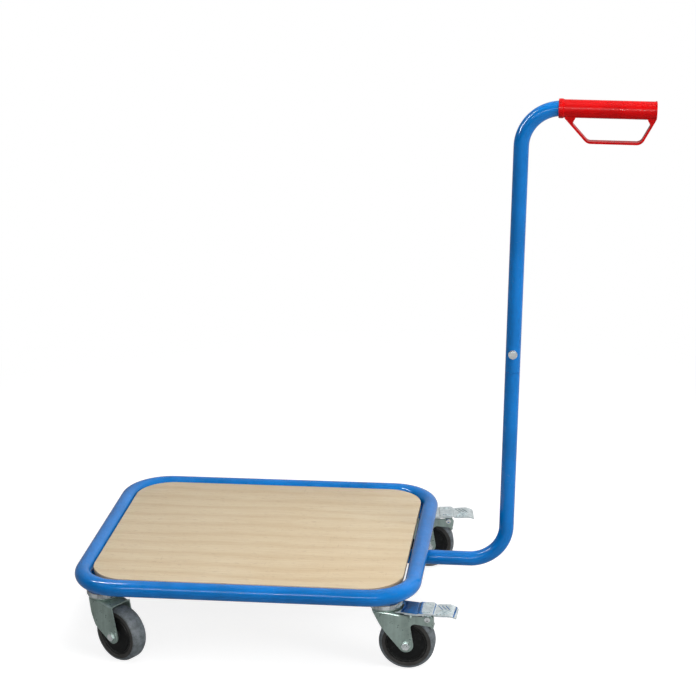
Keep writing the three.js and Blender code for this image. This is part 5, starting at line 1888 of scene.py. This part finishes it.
@dataclass
class Brake:
    """The pressed pedal with its shoe and pin, in the caster's frame."""

    pivot: tuple[float, float] = (77.2, 102)
    trail: float = 39
    wheel_radius: float = 50
    sheet: float = 2
    half_width: float = 25
    waist: float = 22.5
    tip_half_width: float = 22
    lip_start: float = 36
    lip_drop: float = 4
    ear_radius: float = 7
    ear_outside: float = 20.3
    head_clearance: float = 33
    travel: float = 5
    pressed_gap: float = 0.9
    shoe_thickness: float = 3.5
    shoe_width: float = 22
    shoe_degrees: tuple[float, float] = (32, 50)
    stem: tuple[float, float, float] = (81.5, 86, 80)
    pivot_bore: float = 3.3
    pin_seat: float = 23.8
    chevrons: tuple[float, ...] = (92, 98.5, 105)
    line: tuple[tuple[float, float], ...] = (
        (18, 115.4), (59, 112.1), (60, 112.1), (61.2, 112.6), (62.5, 113.4), (85.6, 113.4), (87, 112.9),
        (88.6, 111.1), (90, 110.6), (101, 110.9), (112, 111.4), (117, 111), (122, 109.6), (125.5, 107.9),
        (128, 105.8),
    )

    def ribbon(self, lift: float, drop: float, half: float) -> Solid:
        """The pedal's long section between a lift above its top and a drop below it.

        Args:
            lift: The height above the pedal's top.
            drop: The depth below it.
            half: Half the width.

        Returns:
            The section as a solid.
        """
        above = [(x, z + lift) for x, z in reversed(self.line)]
        below = [(x, z - drop) for x, z in self.line]
        return Solid.side_prism([*below, *above], -half, half)

    def plan(self) -> Solid:
        """The pedal's outline from above, as a tall block.

        Returns:
            The block.
        """
        half = [(129, self.tip_half_width, 7), (114, self.half_width, 6), (95.5, self.half_width, 4),
                (89.5, self.waist, 3), (84.5, self.half_width, 3), (18, self.half_width)]
        mirrored = [(c[0], -c[1], *c[2:]) for c in reversed(half)]
        return Solid.prism(rounded([*half, *mirrored], 6), 0, 130)

    def chevron(self, start: float) -> Solid:
        """A raised chevron of the tread, as a tall block."""
        return Solid.prism(rounded([(start, -19, 0.6), (start + 2.6, -19, 0.6), (start + 13.6, 0, 1),
                                    (start + 2.6, 19, 0.6), (start, 19, 0.6), (start + 11, 0, 1)], 3), 0, 130)

    def pedal(self) -> Solid:
        """The pedal with its lips, ridge, chevrons and ears.

        Returns:
            The pedal.
        """
        x, z = self.pivot
        plate = self.ribbon(0, self.sheet, 30).common(self.plan())
        ridge = Solid.prism(rounded_box(7.5, 18, 1.5, 4), 0, 130).moved(74.5, 0, 0)
        dish = Solid.prism(rounded_box(5.6, 16, 1, 4), 113.7, 130).moved(74.5, 0, 0)
        ribs = [block.common(self.ribbon(0.9, 1, 27)) for block in (ridge, *map(self.chevron, self.chevrons))]
        ribs[0] = ribs[0].minus(dish)
        opening = [(self.lip_start, -25, 2), (84.5, -25), (84.5, 25), (self.lip_start, 25, 2)]
        window = Solid.prism(rounded(opening), 0, 130)
        inside = Solid.prism([(0, -24), (128, -24), (128, 24), (0, 24)], 0, 130)
        lips = self.ribbon(0, self.lip_drop, 30).common(window).minus(inside)
        ear = [*arc(x, z, self.ear_radius, 180, 360, 24), (x + self.ear_radius, 112.4), (x - self.ear_radius, 112.4)]
        outer = self.ear_outside
        ears = [Solid.side_prism(ear, -outer, 2 - outer), Solid.side_prism(ear, outer - 2, outer)]
        body = plate.plus(lips, *ribs, *ears)
        cuts = (Solid.bar_y(self.pivot_bore, -24, 24, x, z), Solid.bar(self.head_clearance, 0, 130, 96))
        return merged_coplanar(body.minus(*cuts))

    def shoe(self) -> Solid:
        """The curved pad, which fits the tyre when it is pressed, on its stem.

        Returns:
            The shoe.
        """
        low, high = (angle + self.travel for angle in self.shoe_degrees)
        inner = self.wheel_radius + self.pressed_gap
        back = Matrix.Rotation(math.radians(self.travel), 2)
        centre = tuple(Vector(self.pivot) + back @ (Vector((self.trail, self.wheel_radius)) - Vector(self.pivot)))
        pad = [*arc(*centre, inner, high, low, 20), *arc(*centre, inner + self.shoe_thickness, low, high, 20)]
        start, end, foot = self.stem
        top = 113.4 - self.sheet - 0.3
        stem = Solid.side_prism([(start, foot), (end, foot), (end, top), (start, top)], -8, 8)
        stem = stem.minus(Solid.bar_y(inner + 0.5, -22, 22, *centre, 128))
        half = self.shoe_width / 2
        return merged_coplanar(Solid.side_prism(pad, -half, half).plus(stem))

    def pin(self) -> Solid:
        """The pin with its domed heads.

        Returns:
            The pin.
        """
        x, z = self.pivot
        shank = Solid.bar_y(3, -24.5, 24.5, x, z)
        heads = []
        for side in (-1, 1):
            dome = Solid.lathe([(1.2, 0), (5.5, 0), (5.5, 0.7), (4.8, 1.35), (3.4, 1.6), (2.6, 1.2), (1.2, 1.1)], 40)
            turn = Matrix.Rotation(-side * math.pi / 2, 4, "X")
            heads.append(dome.placed(Matrix.Translation((x, side * self.pin_seat, z)) @ turn))
        return shank.beside(*heads)


@dataclass
class Caster:
    """A swivel caster at one corner of the deck."""

    name: str
    place: tuple[float, float]
    heading: float
    braked: bool
    head_side: int
    wheel: Wheel = field(default_factory=Wheel)
    trail: float = 39
    axle_height: float = 50
    axle_seat: float = 23.8
    head_top: float = 127.7
    head_radius: float = 31
    plate: float = 2.2
    skirt_drop: float = 9.6
    skirt_wall: float = 2
    neck_radius: float = 9.8
    neck_bottom: float = 110
    race_radius: float = 23
    crimps: int = 18
    balls: int = 8
    boss_height: float = 117.5
    king_diameter: float = 10
    king_hexagon: float = 17
    king_head: tuple[float, float] = (132.3, 138.7)
    king_tip: tuple[float, float] = (99.7, 103.5)

    def matrix(self) -> Matrix:
        """The caster's frame in the row frame."""
        x, y = self.place
        return Matrix.Translation((x * MM, y * MM, 0)) @ Matrix.Rotation(math.radians(self.heading), 4, "Z")

    def axle_matrix(self, side: int = 1) -> Matrix:
        """The frame of the axle, with its Z axis towards the given side."""
        place = Matrix.Translation((self.trail * MM, 0, self.axle_height * MM))
        return self.matrix() @ place @ Matrix.Rotation(-side * math.pi / 2, 4, "X")

    def home(self, body: str, *nodes: str) -> Home:
        """The place of a piece in the caster's frame."""
        return Home(body, self.matrix(), tuple(f"{self.name}_{n}" for n in nodes))

    def on_axle(self, body: str, node: str, side: int = 1) -> Home:
        """The place of a piece about the axle."""
        return Home(body, self.axle_matrix(side), (f"{self.name}_{node}",))

    def build(self) -> None:
        """Makes all pieces of the caster."""
        self.build_head()
        self.build_fork()
        self.build_wheel()
        if self.braked:
            self.build_brake()

    def build_head(self) -> None:
        """Makes the swivel head with its crimped skirt, the ball race and the bolt."""
        top, radius = self.head_top, self.head_radius
        low, under = top - self.skirt_drop, top - self.plate
        inner = radius - self.skirt_wall
        profile = [(5.3, self.neck_bottom), (self.neck_radius, self.neck_bottom), (self.neck_radius, under),
                   (inner - 1, under), (inner, under - 1), (inner, low), (radius - 0.5, low), (radius, low + 0.5),
                   (radius, low + 3.0), (radius, top - 2.4), (radius - 0.6, top - 0.8), (radius - 2, top), (5.3, top)]
        crimped = {5: 0.5, 6: 1.0, 7: 1.0}

        def wave(turn: float, index: int) -> float:
            """The crimps of the skirt's lower edge."""
            return -0.75 * crimped.get(index, 0) * (0.5 + 0.5 * math.cos(self.crimps * turn)) ** 2

        head = Solid.lathe(profile, 144, wave)
        # The head's colour carries painted shade and painted reflection streaks.
        make_piece(f"{self.name}_head", head, self.home("deck_frame", "caster_head"), HEAD_ZINC_PAINTED_SHADE_AND_REFLECTIONS)
        middle = (self.boss_height + under) / 2
        size = (under - self.boss_height) / 2 - 0.3
        rim = [(20.5, middle - 0.6), (25.5, middle - 0.6), (25.5, middle + 0.6), (20.5, middle + 0.6)]
        cage = Solid.lathe(rim, 64)
        ball = Solid.lathe([(size * math.sin(math.pi * k / 12), -size * math.cos(math.pi * k / 12)) if 0 < k < 12
                            else (0, size * (-1 if k == 0 else 1)) for k in range(13)], 20)
        race = cage.beside(*(ball.moved(x, y, middle) for x, y in circle(self.race_radius, self.balls)))
        make_piece(f"{self.name}_race", race, self.home("deck_frame", "ball_ring"), RACE_STEEL)
        shank = Solid.bar(self.king_diameter / 2, 103, 133)
        tip = ThreadedEnd(self.king_diameter, *self.king_tip, 1.5).solid()
        bolt = Hexagon(self.king_hexagon, *self.king_head, 1.0).solid().beside(shank, tip)
        make_fastener(f"{self.name}_king_bolt_body", bolt, self.home("deck_frame", "king_bolt"), 0.25)
        nut_top = self.neck_bottom - 0.3
        nut = Hexagon(self.king_hexagon, nut_top - 8, nut_top - 1.2, 1.0).solid()
        nut = nut.plus(washer(13, 5.5, nut_top - 1.5, nut_top))
        nut = nut.minus(Solid.bar(5.2, nut_top - 10, nut_top + 1))
        make_fastener(f"{self.name}_king_nut_body", nut, self.home("deck_frame", "king_nut"), 0.25)

    def build_fork(self) -> None:
        """Makes the fork, the axle bolt, its nut and the tube round it."""
        body = f"{self.name}_swivel"
        fork = Fork(self.braked).solid()
        # The fork's rounded edges carry the painted edge highlight.
        make_piece(f"{self.name}_fork_body", fork, self.home(body, "fork"), ZINC, Edging(0.9, 3), PAINTED_EDGE_HIGHLIGHT)
        seat = self.axle_seat
        bolt = Hexagon(13, -seat - 5.3, -seat - 1.3).solid().beside(
            Solid.bar(4, -seat - 1.5, seat + 5.8), ThreadedEnd(8, seat + 5.5, seat + 9).solid())
        nut = Hexagon(13, seat + 1.3, seat + 6.5).solid().minus(Solid.bar(4.2, seat, seat + 8))
        side = -self.head_side
        for name, low in (("head", -seat - 1.4), ("nut", seat)):
            flange = washer(8.5, 4.3, low, low + 1.4)
            place = Home(body, self.axle_matrix(side), ())
            make_piece(f"{self.name}_{name}_flange", flange, place, ZINC, Edging(0.25, 2), PAINTED_EDGE_HIGHLIGHT)
        make_fastener(f"{self.name}_axle_bolt_body", bolt, self.on_axle(body, "axle_bolt", side))
        make_fastener(f"{self.name}_axle_nut_body", nut, self.on_axle(body, "axle_nut", side))
        sleeve = washer(6.3, 4.3, -20.7, 20.7)
        make_piece(f"{self.name}_axle_sleeve", sleeve, self.on_axle(body, "axle_tube"), ZINC, Edging(0.2, 2))

    def build_wheel(self) -> None:
        """Makes the hub and the tyre."""
        body = f"{self.name}_wheel"
        make_piece(f"{self.name}_hub", self.wheel.hub(), self.on_axle(body, "wheel_hub"), BLACK)
        make_piece(f"{self.name}_tyre_body", self.wheel.tyre(), self.on_axle(body, "tyre"), RUBBER)

    def build_brake(self) -> None:
        """Makes the pedal, the shoe and the pin."""
        brake, body = Brake(), f"{self.name}_brake"
        make_piece(f"{self.name}_pedal", brake.pedal(), self.home(body, "brake_pedal"), PEDAL_ZINC,
                   Edging(0.35, 2), PAINTED_EDGE_HIGHLIGHT)
        make_piece(f"{self.name}_shoe", brake.shoe(), self.home(body, "brake_shoe"), ZINC, Edging(0.3, 2))
        place = self.home(f"{self.name}_swivel", "brake_pin")
        make_piece(f"{self.name}_pin", brake.pin(), place, BRIGHT_ZINC, Edging(0.15, 2))


# Studio.


@dataclass(frozen=True)
class Lamp:
    """A rectangular softbox: its place, its target, its size in metres and its power in watts."""

    name: str
    place: tuple[float, float, float]
    target: tuple[float, float, float]
    size: tuple[float, float]
    power: float
    mirrored: bool = True
    matt: bool = True


LAMPS = (
    Lamp("top_softbox", (0.3, -0.3, 2.7), (0, 0, 0), (1.6, 1.0), 28, mirrored=False),
    Lamp("left_softbox", (-2.2, -1.6, 1.5), (0, 0, 0.35), (0.8, 0.9), 2.5),
    Lamp("right_softbox", (2.6, -1.3, 1.5), (0.1, 0, 0.45), (0.9, 1.5), 36, mirrored=False),
    Lamp("front_fill", (0.0, -3.1, 1.78), (0, -0.27, 0.14), (2.6, 0.4), 11, mirrored=False),
    Lamp("front_strip", (0.0, -3.1, 1.78), (0, -0.27, 0.14), (2.6, 0.12), 120, matt=False),
    Lamp("left_strip", (-1.35, -0.25, 1.95), (0.35, 0, 0.95), (0.1, 1.5), 50, matt=False),
)


@dataclass
class Studio:
    """The floor, the light and the camera."""

    eye: tuple[float, float, float] = (0.404, -3.3495, 1.5822)
    yaw: float = -7.379
    pitch: float = 17.464
    roll: float = -0.825
    focal_pixels: float = 1950.3
    floor_size: float = 14.0
    floor_share: float = 0.84
    floor_mirrored: tuple[float, float] = (0.32, 0.62)

    def build(self) -> None:
        """Makes the floor, the world, the lamps and the camera."""
        self.build_floor()
        self.build_world()
        for lamp in LAMPS:
            self.add_lamp(lamp)
        self.build_camera()

    def build_floor(self) -> None:
        """Makes the pale floor, which keeps the object's shadow."""
        half = self.floor_size / 2
        mesh = bpy.data.meshes.new("studio_floor")
        mesh.from_pydata([(-half, -half, 0), (half, -half, 0), (half, half, 0), (-half, half, 0)], [], [(0, 1, 2, 3)])
        floor = bpy.data.objects.new("studio_floor", mesh)
        bpy.context.scene.collection.objects.link(floor)
        painter = Painter("Studio floor")
        canvas = painter.canvas
        tone = painter.effect(Effect.CLOUDS, Scale=0.6, Low=0.37, High=0.39)["Value"]
        painter.set(Base_Color=tone, Roughness=0.9, Specular_IOR_Level=0.0)
        rays = canvas.node("LightPath").outputs
        direct = canvas.math("MAXIMUM", rays["Is Camera Ray"], rays["Is Transmission Ray"])
        glow, far, mirrored = (canvas.node("Emission") for _ in range(3))
        for white in (glow, far, mirrored):
            white.inputs["Color"].default_value = (1, 1, 1, 1)
        canvas.feed(glow.inputs["Strength"], canvas.math("MULTIPLY", direct, self.floor_share))
        near = canvas.node("AddShader")
        canvas.feed(near.inputs[0], painter.shader.outputs[0])
        canvas.feed(near.inputs[1], glow.outputs[0])
        both = canvas.node("MixShader")
        distance = painter.effect(Effect.RADIUS, Start=0.9, End=1.8)["Mask"]
        canvas.feed(both.inputs[0], canvas.math("MULTIPLY", distance, direct))
        canvas.feed(both.inputs[1], near.outputs[0])
        canvas.feed(both.inputs[2], far.outputs[0])
        parts = canvas.node("SeparateXYZ")
        canvas.feed(parts.inputs[0], painter.place)
        canvas.feed(mirrored.inputs["Strength"], canvas.remap(parts.outputs["X"], -0.9, 0.9, *self.floor_mirrored))
        whole = canvas.node("MixShader")
        canvas.feed(whole.inputs[0], rays["Is Glossy Ray"])
        canvas.feed(whole.inputs[1], both.outputs[0])
        canvas.feed(whole.inputs[2], mirrored.outputs[0])
        output = next(n for n in canvas.tree.nodes if n.type == "OUTPUT_MATERIAL")
        canvas.feed(output.inputs["Surface"], whole.outputs[0])
        mesh.materials.append(painter.material)

    def build_world(self) -> None:
        """Makes the world: white where it is seen, softer where it lights."""
        world = bpy.data.worlds.new("Studio world")
        bpy.context.scene.world = world
        world.use_nodes = True
        canvas = Canvas(world.node_tree)
        rays = canvas.node("LightPath").outputs
        seen = canvas.math("MAXIMUM", rays["Is Camera Ray"], rays["Is Transmission Ray"])
        parts = canvas.node("SeparateXYZ")
        canvas.feed(parts.inputs[0], canvas.node("TexCoord").outputs["Generated"])
        side = canvas.remap(parts.outputs["X"], -0.7, 0.7, 0.45, 1.3)
        back = canvas.remap(parts.outputs["Y"], -0.2, 0.5, 0.5, 1.9)
        sky = canvas.math("MULTIPLY", canvas.remap(parts.outputs["Z"], 0.0, 0.8, 0.3, 0.6), back)
        glossy = canvas.math("MULTIPLY", rays["Is Glossy Ray"], canvas.math("MULTIPLY", sky, side))
        matt = canvas.math("SUBTRACT", 1.0, rays["Is Glossy Ray"])
        plain = canvas.math("MULTIPLY", matt, canvas.math("MULTIPLY", side, 0.34))
        strength = canvas.math("MAXIMUM", seen, canvas.math("ADD", glossy, plain))
        background = canvas.node("Background")
        background.inputs["Color"].default_value = (1, 1, 1, 1)
        canvas.feed(background.inputs["Strength"], strength)
        output = canvas.node("OutputWorld")
        canvas.feed(output.inputs["Surface"], background.outputs[0])

    def add_lamp(self, lamp: Lamp) -> None:
        """Adds a lamp to the scene.

        Args:
            lamp: The lamp.
        """
        data = bpy.data.lights.new(lamp.name, "AREA")
        data.shape = "RECTANGLE"
        data.size, data.size_y = lamp.size
        data.energy = lamp.power
        thing = bpy.data.objects.new(lamp.name, data)
        thing.visible_glossy = lamp.mirrored
        thing.visible_diffuse = lamp.matt
        thing.location = lamp.place
        thing.rotation_euler = (Vector(lamp.target) - Vector(lamp.place)).to_track_quat("-Z", "Y").to_euler()
        bpy.context.scene.collection.objects.link(thing)

    def build_camera(self) -> None:
        """Makes the camera at the viewing angle of the photograph."""
        data = bpy.data.cameras.new("Camera")
        data.sensor_fit = "HORIZONTAL"
        data.sensor_width = SENSOR_WIDTH
        data.lens = self.focal_pixels / PHOTO_SIDE * SENSOR_WIDTH
        data.clip_end = 60
        camera = bpy.data.objects.new("Camera", data)
        yaw, pitch, roll = (math.radians(a) for a in (self.yaw, self.pitch, self.roll))
        forward = Vector((math.sin(yaw) * math.cos(pitch), math.cos(yaw) * math.cos(pitch), -math.sin(pitch)))
        level = Vector((math.cos(yaw), -math.sin(yaw), 0))
        above = level.cross(forward)
        right = level * math.cos(roll) + above * math.sin(roll)
        up = above * math.cos(roll) - level * math.sin(roll)
        turn = Matrix((right, up, -forward)).transposed().to_4x4()
        camera.matrix_world = Matrix.Translation(self.eye) @ turn
        bpy.context.scene.collection.objects.link(camera)
        bpy.context.scene.camera = camera


def main() -> None:
    """Builds the dolly and the studio round it."""
    logging.basicConfig(level=logging.INFO, format="%(name)s: %(message)s")
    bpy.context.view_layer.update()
    offset = (LEFT_END + RIGHT_END) / 2
    studio = Studio()
    studio.build()
    deck = DeckFrame(offset)
    deck.build()
    handle = PushHandle(offset)
    handle.build()
    Grip(handle).build()
    settings = {
        "front_left": (-31.5, False, -1), "front_right": (-2, True, 1),
        "rear_left": (28, False, -1), "rear_right": (7, True, 1),
    }
    for name, sx, sy in CORNERS:
        heading, braked, head_side = settings[name]
        x = sx * (deck.length / 2 - deck.caster_inset[0]) - offset
        y = sy * (deck.width / 2 - deck.caster_inset[1])
        Caster(name, (x, y), heading, braked, head_side).build()
    bpy.context.scene.view_settings.view_transform = "Standard"


if __name__ == "__main__":
    main()
